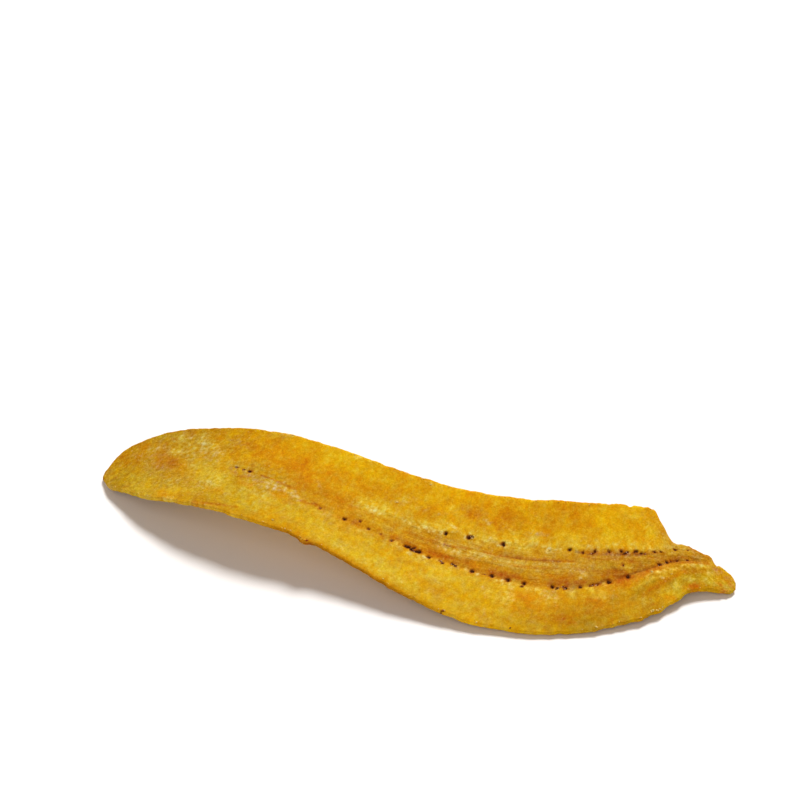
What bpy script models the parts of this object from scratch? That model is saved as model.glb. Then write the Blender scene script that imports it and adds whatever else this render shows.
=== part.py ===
"""Fried plantain strip: one slice cut along the fruit, fried and lying cut side up. Metres, +Z up.

The slice is a flat grid whose columns run along the fruit and whose rows run across it. A centre line
(heading, climb) carries the grid, each cross row is turned by its own roll, and two half widths give the
outline. Solidify then gives the slice its thickness. Lengths in the tables are millimetres, angles degrees.
"""
import math

import bpy
from mathutils import Matrix, Vector

MM = 0.001

# Driving dimensions
LENGTH = 184.0          # along the centre line, from the round end to the stalk end
THICKNESS = 1.9         # through the slice
CELLS_ALONG = 72
CELLS_ACROSS = 16
END_BUNCHING = 0.75     # 0 spaces the cross rows evenly, 1 crowds them into both ends
ROUND_END = 4.5         # the outline closes in over this length at the round end
BLUNT_END = 1.6         # and over this length at the stalk end
END_FLAT = 0.5          # share of the half width that is left at the very ends
CUP_RADIUS = 140.0      # the two long edges curl up by this radius

# Centre line and roll: (distance along the slice, angle)
HEADING = ((0, -10), (24, -18), (48, -24), (72, -24.5), (96, -21), (120, -14), (144, -5.5), (164, 0), (184, 0))
CLIMB = ((0, 28.5), (24, 17.5), (48, 4.5), (72, -8.5), (96, -10), (120, -4.5), (144, 0), (164, -4), (184, -13.5))
ROLL = ((0, 6.5), (24, 9.5), (48, 11), (72, 14), (96, 16.5), (120, 18.5), (144, 19), (184, 18.5))

# Outline: (distance along the slice, half width)
FRONT_HALF_WIDTH = ((0, 4.5), (3, 5.5), (8, 7.5), (18, 11.5), (32, 14), (50, 15), (75, 14.5), (100, 17.5),
                    (120, 19.5), (138, 18), (152, 14.5), (162, 10), (167, 6.5), (173, 2.5), (184, 2))
BACK_HALF_WIDTH = ((0, 5.5), (3, 7), (8, 9), (18, 11.5), (32, 13), (50, 14.5), (75, 15.5), (100, 17),
                   (120, 19), (138, 20.5), (152, 20.5), (162, 19.5), (167, 11), (173, 9), (179, 5.5), (184, 2))

# Core of the fruit: the band between the two rows of seeds, a little sunk, (distance along, offset to the back)
CORE_FRONT = ((90, -4), (128, -5), (140, -4.5), (150, -2), (162, 3.5), (172, 5.5), (184, 6.5))
CORE_BACK = ((90, 3), (110, 4.5), (140, 6.5), (160, 7), (172, 8.5), (184, 9))
CORE_DEPTH = 0.35
CORE_START = (80.0, 105.0)   # the sunk band fades in between these distances
LIP_HEIGHT = 1.1             # ridge in front of the core towards the stalk end
LIP_CREST = 2.8              # from the front seed row to the crest of the ridge
LIP_FOOT = 9.0               # and on to where the ridge has run out
LIP_START = (138.0, 162.0)
RELIEF_END = (170.0, 181.0)  # core and ridge run out towards the tip of the stalk end

# Small turns that bring the three places it stands on level
LEVEL_X = -1.7
LEVEL_Y = 0.8


def follow(keys, x):
    """Smooth curve through the keys that doesn't overshoot them."""
    if x <= keys[0][0]:
        return float(keys[0][1])
    if x >= keys[-1][0]:
        return float(keys[-1][1])
    i = max(k for k in range(len(keys) - 1) if keys[k][0] <= x)

    def rise(k):
        return (keys[k + 1][1] - keys[k][1]) / (keys[k + 1][0] - keys[k][0])

    def slope(k):
        if k == 0:
            return rise(0)
        if k == len(keys) - 1:
            return rise(k - 1)
        before, after = rise(k - 1), rise(k)
        if before * after <= 0:
            return 0.0
        left, right = keys[k][0] - keys[k - 1][0], keys[k + 1][0] - keys[k][0]
        a, b = 2 * right + left, right + 2 * left
        return (a + b) / (a / before + b / after)

    span = keys[i + 1][0] - keys[i][0]
    t = (x - keys[i][0]) / span
    return (keys[i][1] * (2 * t**3 - 3 * t**2 + 1) + keys[i + 1][1] * (3 * t**2 - 2 * t**3)
            + span * slope(i) * (t**3 - 2 * t**2 + t) + span * slope(i + 1) * (t**3 - t**2))


def ease(low, high, x):
    t = min(1.0, max(0.0, (x - low) / (high - low)))
    return t * t * (3 - 2 * t)


def relief(s, w):
    """Height of the cut face over the flat slice at distance s along it and w towards its back edge."""
    height = w * w / (2 * CUP_RADIUS)
    front, back = follow(CORE_FRONT, s), follow(CORE_BACK, s)
    inside = ease(front - 1.2, front + 1.2, w) * (1 - ease(back - 1.2, back + 1.2, w))
    left = 1 - ease(*RELIEF_END, s)
    height -= CORE_DEPTH * ease(*CORE_START, s) * left * inside
    from_row = front - w
    ridge = ease(0, LIP_CREST, from_row) * (1 - ease(LIP_CREST, LIP_FOOT, from_row))
    return height + LIP_HEIGHT * ease(*LIP_START, s) * left * ridge


def closing(s):
    """Share of the half widths that the rounded ends leave at distance s."""
    share = 1.0
    for inward, radius in ((s, ROUND_END), (LENGTH - s, BLUNT_END)):
        if inward < radius:
            share *= max(END_FLAT, math.sqrt(1 - (1 - inward / radius) ** 2))
    return share


def turned(s):
    """Direction along the centre line, towards the back edge and up from the cut face, at distance s."""
    heading, climb, roll = (math.radians(follow(k, s)) for k in (HEADING, CLIMB, ROLL))
    along = Vector((math.cos(climb) * math.cos(heading), math.cos(climb) * math.sin(heading), math.sin(climb)))
    level = Vector((-math.sin(heading), math.cos(heading), 0))
    across = math.cos(roll) * level + math.sin(roll) * along.cross(level)
    return along, across, along.cross(across)


def centre_line(stations):
    """Points of the centre line at the given distances, walked in steps of at most half a millimetre."""
    points, here, at = [], Vector((0, 0, 0)), 0.0
    for s in stations:
        steps = max(1, math.ceil((s - at) / 0.5))
        step = (s - at) / steps
        for n in range(steps):
            here = here + turned(at + (n + 0.5) * step)[0] * step
        at = s
        points.append(here.copy())
    return points


def build_strip():
    bpy.ops.mesh.primitive_grid_add(x_subdivisions=CELLS_ALONG, y_subdivisions=CELLS_ACROSS, size=2)
    strip = bpy.context.object
    strip.name = strip.data.name = "plantain_strip"

    columns = [i / CELLS_ALONG for i in range(CELLS_ALONG + 1)]
    stations = [LENGTH * ((1 - END_BUNCHING) * u + END_BUNCHING * (0.5 - 0.5 * math.cos(math.pi * u))) for u in columns]
    line = centre_line(stations)
    for vertex in strip.data.vertices:
        i = round((vertex.co.x + 1) / 2 * CELLS_ALONG)
        s = stations[i]
        _, across, up = turned(s)
        front, back = (follow(k, s) * closing(s) for k in (FRONT_HALF_WIDTH, BACK_HALF_WIDTH))
        w = -front + (vertex.co.y + 1) / 2 * (front + back)
        vertex.co = (line[i] + across * w + up * relief(s, w)) * MM

    shell = strip.modifiers.new("thickness", "SOLIDIFY")
    shell.thickness = THICKNESS * MM
    shell.offset = -1
    shell.use_even_offset = True

    # The row frame: level on its three supports, its box centred over the origin and standing on z = 0.
    level = Matrix.Rotation(math.radians(LEVEL_X), 4, "X") @ Matrix.Rotation(math.radians(LEVEL_Y), 4, "Y")
    strip.data.transform(level)
    solid = strip.evaluated_get(bpy.context.evaluated_depsgraph_get())
    low = Vector(min(v.co[k] for v in solid.data.vertices) for k in range(3))
    high = Vector(max(v.co[k] for v in solid.data.vertices) for k in range(3))
    strip.data.transform(Matrix.Translation((-(low.x + high.x) / 2, -(low.y + high.y) / 2, -low.z)))
    for polygon in strip.data.polygons:
        polygon.use_smooth = True
    return strip


def main():
    for old in list(bpy.data.objects):
        bpy.data.objects.remove(old, do_unlink=True)
    strip = build_strip()

    flesh = bpy.data.materials.new("fried_plantain_flesh")
    flesh.use_nodes = True
    shader = flesh.node_tree.nodes["Principled BSDF"]
    shader.inputs["Base Color"].default_value = (0.84, 0.42, 0.025, 1)
    shader.inputs["Roughness"].default_value = 0.5
    strip.data.materials.append(flesh)

    collection = bpy.data.collections.new("fried_plantain_strip")
    bpy.context.scene.collection.children.link(collection)
    for other in list(strip.users_collection):
        other.objects.unlink(strip)
    collection.objects.link(strip)


main()
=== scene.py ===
"""Looks of the fried plantain strip.

The strip is rebuilt as one closed fine mesh on the same centre line and outline as the CAD slice. Functions of the
distance along the slice (s) and across it (w, towards the back edge) shape its sunken core, seed pockets, torn
fibres and crumbly skin, and paint the masks that its material mixes; its colour holds some painted light and shade.
Seeds and crumbs are joined meshes, and among the crumbs a few pale lumps are painted glints. Lengths in
the tables are millimetres, angles degrees. Places marked px are pixels of the 800 x 800 frame, and are carried onto
the slice's surface through the scene's own camera.
"""

import math

import bmesh
import bpy
import numpy as np
from mathutils import Matrix, Vector


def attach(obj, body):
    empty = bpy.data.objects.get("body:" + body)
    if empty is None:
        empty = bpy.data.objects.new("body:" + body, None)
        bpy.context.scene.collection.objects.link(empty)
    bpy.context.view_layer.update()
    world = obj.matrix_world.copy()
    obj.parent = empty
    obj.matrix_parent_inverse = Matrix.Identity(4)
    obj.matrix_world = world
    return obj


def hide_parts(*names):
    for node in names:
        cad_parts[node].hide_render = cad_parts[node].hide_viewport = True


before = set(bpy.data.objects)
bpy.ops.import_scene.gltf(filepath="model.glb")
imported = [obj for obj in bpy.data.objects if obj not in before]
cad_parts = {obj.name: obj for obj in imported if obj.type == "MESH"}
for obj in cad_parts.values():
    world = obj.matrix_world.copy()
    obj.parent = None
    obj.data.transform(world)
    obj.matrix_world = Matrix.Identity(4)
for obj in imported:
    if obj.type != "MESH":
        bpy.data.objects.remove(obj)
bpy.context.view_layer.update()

MM = 0.001

# ---------------------------------------------------------------- the slice's own shape, as in the CAD model
LENGTH = 184.0
THICKNESS = 1.9
CUP_RADIUS = 140.0
HEADING = ((0, -10), (24, -18), (48, -24), (72, -24.5), (96, -21), (120, -14), (144, -5.5), (164, 0), (184, 0))
CLIMB = ((0, 28.5), (24, 17.5), (48, 4.5), (72, -8.5), (96, -10), (120, -4.5), (144, 0), (164, -4), (184, -13.5))
ROLL = ((0, 6.5), (24, 9.5), (48, 11), (72, 14), (96, 16.5), (120, 18.5), (144, 19), (184, 18.5))
FRONT_HALF_WIDTH = ((0, 4.5), (3, 5.5), (8, 7.5), (18, 11.5), (32, 14), (50, 15), (75, 14.5), (100, 17.5),
                    (120, 19.5), (138, 18), (152, 14.5), (162, 10), (167, 6.5), (173, 2.5), (184, 2))
BACK_HALF_WIDTH = ((0, 5.5), (3, 7), (8, 9), (18, 11.5), (32, 13), (50, 14.5), (75, 15.5), (100, 17),
                   (120, 19), (138, 20.5), (152, 20.5), (162, 19.5), (167, 11), (173, 9), (179, 5.5), (184, 2))
ROUND_END, BLUNT_END = 4.5, 1.6
LEVEL = Matrix.Rotation(math.radians(-1.7), 3, "X") @ Matrix.Rotation(math.radians(0.8), 3, "Y")
PLACE = Vector((-86.26, 26.49, 1.81))      # where the centre line starts in the row frame

# Rows of seeds on both sides of the core, (distance along, offset to the back)
CORE_FRONT = ((40, 0.6), (52, -0.6), (62, -2.4), (72, -4), (100, -4.3), (128, -5), (140, -4.7), (150, -2),
              (156, 0.4), (163, 3.7), (171, 5.5), (184, 6.5))
CORE_BACK = ((40, 2.5), (70, 1.5), (90, 2.6), (104, 3.6), (112, 4.7), (140, 6.6), (160, 7.1), (168, 8.3), (184, 9.5))


def follow(keys, x):
    """Smooth curve through the keys that doesn't overshoot them, for an array of places."""
    kx = np.array([k[0] for k in keys], float)
    ky = np.array([k[1] for k in keys], float)
    h = np.diff(kx)
    d = np.diff(ky) / h
    m = np.zeros_like(ky)
    m[0], m[-1] = d[0], d[-1]
    for k in range(1, len(ky) - 1):
        if d[k - 1] * d[k] > 0:
            a, b = 2 * h[k] + h[k - 1], h[k] + 2 * h[k - 1]
            m[k] = (a + b) / (a / d[k - 1] + b / d[k])
    x = np.clip(np.asarray(x, float), kx[0], kx[-1])
    i = np.clip(np.searchsorted(kx, x, side="right") - 1, 0, len(h) - 1)
    t = (x - kx[i]) / h[i]
    return (ky[i] * (2 * t**3 - 3 * t**2 + 1) + ky[i + 1] * (3 * t**2 - 2 * t**3)
            + h[i] * m[i] * (t**3 - 2 * t**2 + t) + h[i] * m[i + 1] * (t**3 - t**2))


def ease(low, high, x):
    t = np.clip((np.asarray(x, float) - low) / (high - low), 0, 1)
    return t * t * (3 - 2 * t)


def closing(s):
    share = np.ones_like(s)
    for inward, radius in ((s, ROUND_END), (LENGTH - s, BLUNT_END)):
        part = np.sqrt(np.clip(1 - (1 - np.clip(inward / radius, 0, 1)) ** 2, 0, 1))
        share = share * np.where(inward < radius, np.maximum(0.42, part), 1)
    return share


class Noise:
    """Seeded gradient noise in two dimensions, about -1 to 1."""

    def __init__(self, seed):
        rng = np.random.default_rng(seed)
        self.perm = rng.permutation(512)
        angle = rng.uniform(0, 2 * math.pi, 512)
        self.gx, self.gy = np.cos(angle), np.sin(angle)

    def __call__(self, x, y=0.0):
        x, y = np.broadcast_arrays(np.asarray(x, float), np.asarray(y, float))
        xi, yi = np.floor(x).astype(int), np.floor(y).astype(int)
        fx, fy = x - xi, y - yi
        u, v = fx**3 * (fx * (6 * fx - 15) + 10), fy**3 * (fy * (6 * fy - 15) + 10)

        def corner(a, b):
            k = self.perm[(xi + a + self.perm[(yi + b) & 511]) & 511]
            return self.gx[k] * (fx - a) + self.gy[k] * (fy - b)

        low = corner(0, 0) * (1 - u) + corner(1, 0) * u
        high = corner(0, 1) * (1 - u) + corner(1, 1) * u
        return 1.5 * (low * (1 - v) + high * v)


def rough(noise, x, y, octaves=3, gain=0.5):
    total, size, scale = 0.0, 1.0, 1.0
    for k in range(octaves):
        total = total + size * noise(x * scale + 17.3 * k, y * scale - 9.1 * k)
        size, scale = size * gain, scale * 2.03
    return total


# Frames along the centre line, in the slice's own space
TABLE_S = np.linspace(0, LENGTH, 1473)
_h, _c, _r = (np.radians(follow(k, TABLE_S)) for k in (HEADING, CLIMB, ROLL))
TABLE_ALONG = np.stack([np.cos(_c) * np.cos(_h), np.cos(_c) * np.sin(_h), np.sin(_c)], 1)
_level = np.stack([-np.sin(_h), np.cos(_h), 0 * _h], 1)
TABLE_ACROSS = np.cos(_r)[:, None] * _level + np.sin(_r)[:, None] * np.cross(TABLE_ALONG, _level)
TABLE_UP = np.cross(TABLE_ALONG, TABLE_ACROSS)
_step = TABLE_S[1] - TABLE_S[0]
TABLE_P = np.concatenate([np.zeros((1, 3)), np.cumsum((TABLE_ALONG[1:] + TABLE_ALONG[:-1]) / 2 * _step, 0)])
LEVEL_NP = np.array(LEVEL)
PLACE_NP = np.array(PLACE)


def at(table, s):
    return np.stack([np.interp(s, TABLE_S, table[:, k]) for k in range(3)], -1)


def to_row(points):
    """From the slice's own space to the row frame, still in millimetres."""
    return points @ LEVEL_NP.T + PLACE_NP


# ---------------------------------------------------------------- camera
LENS, SENSOR, SHARP = 100.0, 36.0, 3.4          # SHARP: px per millimetre at the target
ELEVATION = 40.0
DISTANCE = LENS / SENSOR * 800 / SHARP
_e = math.radians(ELEVATION)
START = Vector((-89.5, 24.5, 1.9))              # the centre line's start as the camera's own level floor sees it
_target = Vector((-20 / SHARP, 130 / SHARP / math.sin(_e), 0))
_eye = _target + DISTANCE * Vector((0, -math.cos(_e), math.sin(_e)))
CAMERA_AT = LEVEL @ (_eye - START) + PLACE
CAMERA_TURN = LEVEL @ Matrix.Rotation(math.pi / 2 - _e, 3, "X")

camera = bpy.data.objects.new("camera", bpy.data.cameras.new("camera"))
bpy.context.scene.collection.objects.link(camera)
camera.data.lens, camera.data.sensor_width = LENS, SENSOR
camera.data.clip_start, camera.data.clip_end = 0.01, 50
camera.matrix_world = Matrix.Translation(CAMERA_AT * MM) @ CAMERA_TURN.to_4x4()
bpy.context.scene.camera = camera


def pixels(points):
    """Where row-frame points (mm) fall in the 800 x 800 frame."""
    local = (np.asarray(points) - np.array(CAMERA_AT)) @ np.array(CAMERA_TURN)
    k = LENS / SENSOR * 800 / -local[..., 2]
    return np.stack([400 + local[..., 0] * k, 400 - local[..., 1] * k], -1)


# ---------------------------------------------------------------- outline
edge_noise = Noise(11)


def half_widths(s):
    """Front and back half widths with the uneven edge of the fried slice."""
    share = closing(s)
    front = follow(FRONT_HALF_WIDTH, s)
    back = follow(BACK_HALF_WIDTH, s)
    soft = ease(0, 8, s) * (1 - 0.5 * ease(166, 184, s))
    torn = 0.75 + 1.4 * ease(144, 155, s) * (1 - 0.5 * ease(166, 174, s))      # the edge is torn most towards the stalk end
    front = front + soft * (0.28 * edge_noise(s / 7.0, 3.5) + torn * (0.20 * edge_noise(s / 2.6, 8.5) + 0.18 * edge_noise(s / 1.25, 1.5)))
    back = back + soft * (0.28 * edge_noise(s / 8.0, 23.5) + torn * (0.18 * edge_noise(s / 2.9, 28.5) + 0.18 * edge_noise(s / 1.3, 21.5)))
    front = front + 0.55 * np.exp(-((s - 158.6) / 1.0) ** 2) - 0.45 * np.exp(-((s - 161.0) / 0.9) ** 2)
    front = front + 0.8 * np.exp(-((s - 71.4) / 1.5) ** 4)
    back = back - 1.0 * np.exp(-((s - 178.7) / 0.6) ** 2) + 0.9 * ease(174.5, 177.3, s) * (1 - ease(177.4, 178.0, s))
    return front * share, back * share


# ---------------------------------------------------------------- relief of the two cut faces
big, mid, fine, fibre, ray = Noise(21), Noise(22), Noise(23), Noise(24), Noise(25)
RAISED = {"cream": 0.7, "white": 1.0, "tan": 1.0, "pink": 0.6}     # marks of torn, dried flesh that stand up a little, the white marks that are painted glints and highlights with them
under = Noise(31)


def shape(s, w):
    """Height of the middle of the slice's top over its flat ribbon: the cupped, undulating whole."""
    h = w * w / (2 * CUP_RADIUS)
    h = h + 0.22 * big(s / 21.0, w / 17.0) * ease(4, 20, s) * (1 - ease(160, 178, s))
    front_row = follow(CORE_FRONT, s)
    front_half = follow(FRONT_HALF_WIDTH, s)
    t = np.clip((front_row - w) / np.maximum(front_row + front_half, 1), 0, 1)
    h = h + 0.6 * np.sin(math.pi * t) * ease(88, 112, s) * (1 - ease(146, 160, s))
    # ridge in front of the core towards the stalk end
    from_row = front_row - w
    right = ease(140, 160, s) * (1 - ease(176, 183, s))
    ridge = ease(0.2, 2.6, from_row) * (1 - ease(2.6, 7.5, from_row))
    return h + 0.09 * right * ridge


def rows(s, w, jitter):
    """Distances in front of the front row and behind the back row, with uneven rows."""
    front = follow(CORE_FRONT, s) + 0.35 * jitter(s / 3.2, 5.5) + 0.18 * jitter(s / 1.1, 7.5)
    back = follow(CORE_BACK, s) + 0.35 * jitter(s / 3.6, 15.5) + 0.18 * jitter(s / 1.2, 17.5)
    return front - w, w - back


def core_mask(s, w, jitter, start=(58, 104), edge=1.1):
    ahead, behind = rows(s, w, jitter)
    inside = ease(-edge, edge, -ahead) * ease(-edge - 0.7, edge + 0.7, -behind)
    return inside * ease(*start, s) * (1 - ease(178, 182.5, s))


print("tables ready")


# ---------------------------------------------------------------- marks on the shown face, placed by px
PROBE_S, PROBE_W = np.meshgrid(np.linspace(0, LENGTH, 737), np.linspace(-21, 21, 421), indexing="ij")
_inside = (PROBE_W > -half_widths(PROBE_S)[0]) & (PROBE_W < half_widths(PROBE_S)[1])
_ps, _pw = PROBE_S[_inside], PROBE_W[_inside]
_probe = pixels(to_row(at(TABLE_P, _ps) + at(TABLE_ACROSS, _ps) * _pw[:, None] + at(TABLE_UP, _ps) * shape(_ps, _pw)[:, None]))


def on_slice(px):
    """(s, w) of the place on the slice that shows at a pixel."""
    k = int(np.argmin(np.hypot(_probe[:, 0] - px[0], _probe[:, 1] - px[1])))
    return float(_ps[k]), float(_pw[k])


# px, size across in mm, how long it is for its width, how dark (1 is black-brown)
SEEDS = [
    (237, 467, 0.55, 2.4, 0.9), (243.5, 468.7, 0.5, 2.0, 0.9), (249.8, 471, 1.0, 1.7, 0.9),
    (320, 507.6, 0.7, 1.2, 0.6), (344.6, 518.3, 0.95, 1.4, 1.0), (359.6, 520.3, 0.75, 1.1, 0.7),
    (368.3, 528, 0.6, 1.2, 0.8), (380, 533, 0.4, 1.2, 0.5), (391.9, 540, 0.8, 1.4, 0.9),
    (405.9, 545.3, 0.8, 1.5, 1.0), (409.4, 546.4, 0.9, 1.5, 1.0), (412.0, 550.4, 0.5, 1.4, 0.7), (417.7, 550.7, 0.9, 1.4, 1.0),
    (407.4, 545.9, 1.15, 1.4, 1.0), (411.4, 548.4, 1.15, 1.3, 1.0), (414.4, 547.2, 0.8, 1.4, 0.9),
    (415.8, 550.6, 0.95, 1.2, 0.9), (419.6, 550.8, 1.15, 1.3, 1.0), (428.4, 556.2, 1.0, 1.5, 1.0),
    (441.9, 562.4, 0.7, 1.3, 0.9), (440.2, 560, 0.45, 1.2, 0.8), (451.6, 563.2, 0.7, 1.3, 1.0),
    (455.4, 565.6, 0.65, 1.3, 0.8), (471.9, 570.4, 1.25, 1.15, 1.0), (483, 573, 0.3, 1.1, 0.6),
    (492.3, 575, 1.15, 1.15, 1.0), (507.7, 579.3, 1.35, 1.15, 1.0), (524.3, 582.3, 1.1, 1.2, 1.0),
    (521.2, 585.8, 0.65, 1.3, 0.9), (552.5, 586.2, 1.15, 1.3, 1.0), (556.4, 588, 0.6, 1.2, 0.9),
    (565.3, 587.6, 0.9, 1.3, 1.0), (562.6, 586, 0.4, 1.2, 0.8), (579.7, 586.2, 0.9, 1.4, 1.0),
    (589.5, 584.9, 0.6, 1.6, 0.8), (593, 584.2, 0.65, 1.5, 0.85), (596.8, 583.6, 0.6, 1.5, 0.8),
    (609, 581.4, 1.35, 1.2, 1.0), (628.3, 575.7, 1.3, 1.2, 1.0), (659.5, 563.8, 0.95, 1.2, 1.0),
    (667.5, 561.3, 0.9, 1.6, 0.9), (671.2, 560.6, 0.5, 1.5, 0.8), (677, 560, 0.7, 1.4, 0.7), (687.2, 559.6, 0.8, 1.4, 0.6),
    (446, 532.7, 0.95, 1.2, 1.0), (468.7, 536.6, 1.1, 1.1, 0.95), (471.7, 535.8, 0.5, 1.3, 0.9),
    (503, 543.4, 1.2, 1.2, 1.0), (569.5, 549, 0.85, 1.4, 1.0), (583.2, 551.8, 0.8, 1.2, 0.8),
    (594.6, 550.3, 0.95, 1.2, 0.8), (592.2, 553, 0.55, 1.2, 0.7), (609.7, 550.8, 0.9, 1.2, 0.8),
    (621, 550.6, 0.85, 1.6, 0.95), (625, 552.6, 0.75, 1.6, 0.9), (627.2, 551.6, 0.6, 1.3, 0.8),
    (635.6, 550.9, 0.95, 2.2, 1.0), (641.5, 552.7, 0.7, 1.9, 0.9), (645.3, 553, 0.5, 1.5, 0.8),
    (654.8, 551.3, 0.65, 2.6, 0.95), (661, 551, 0.5, 1.8, 0.85), (675.5, 549.2, 0.55, 2.2, 0.9),
    (687, 549.4, 0.45, 1.8, 0.4), (623.3, 564.3, 0.75, 1.1, 0.7), (441.7, 610.5, 0.4, 1.2, 0.8),
]
SEEDS = [on_slice(row[:2]) + (0.93 * row[2] ** 0.75, 0.78 * row[3], row[4]) for row in SEEDS]

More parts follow.
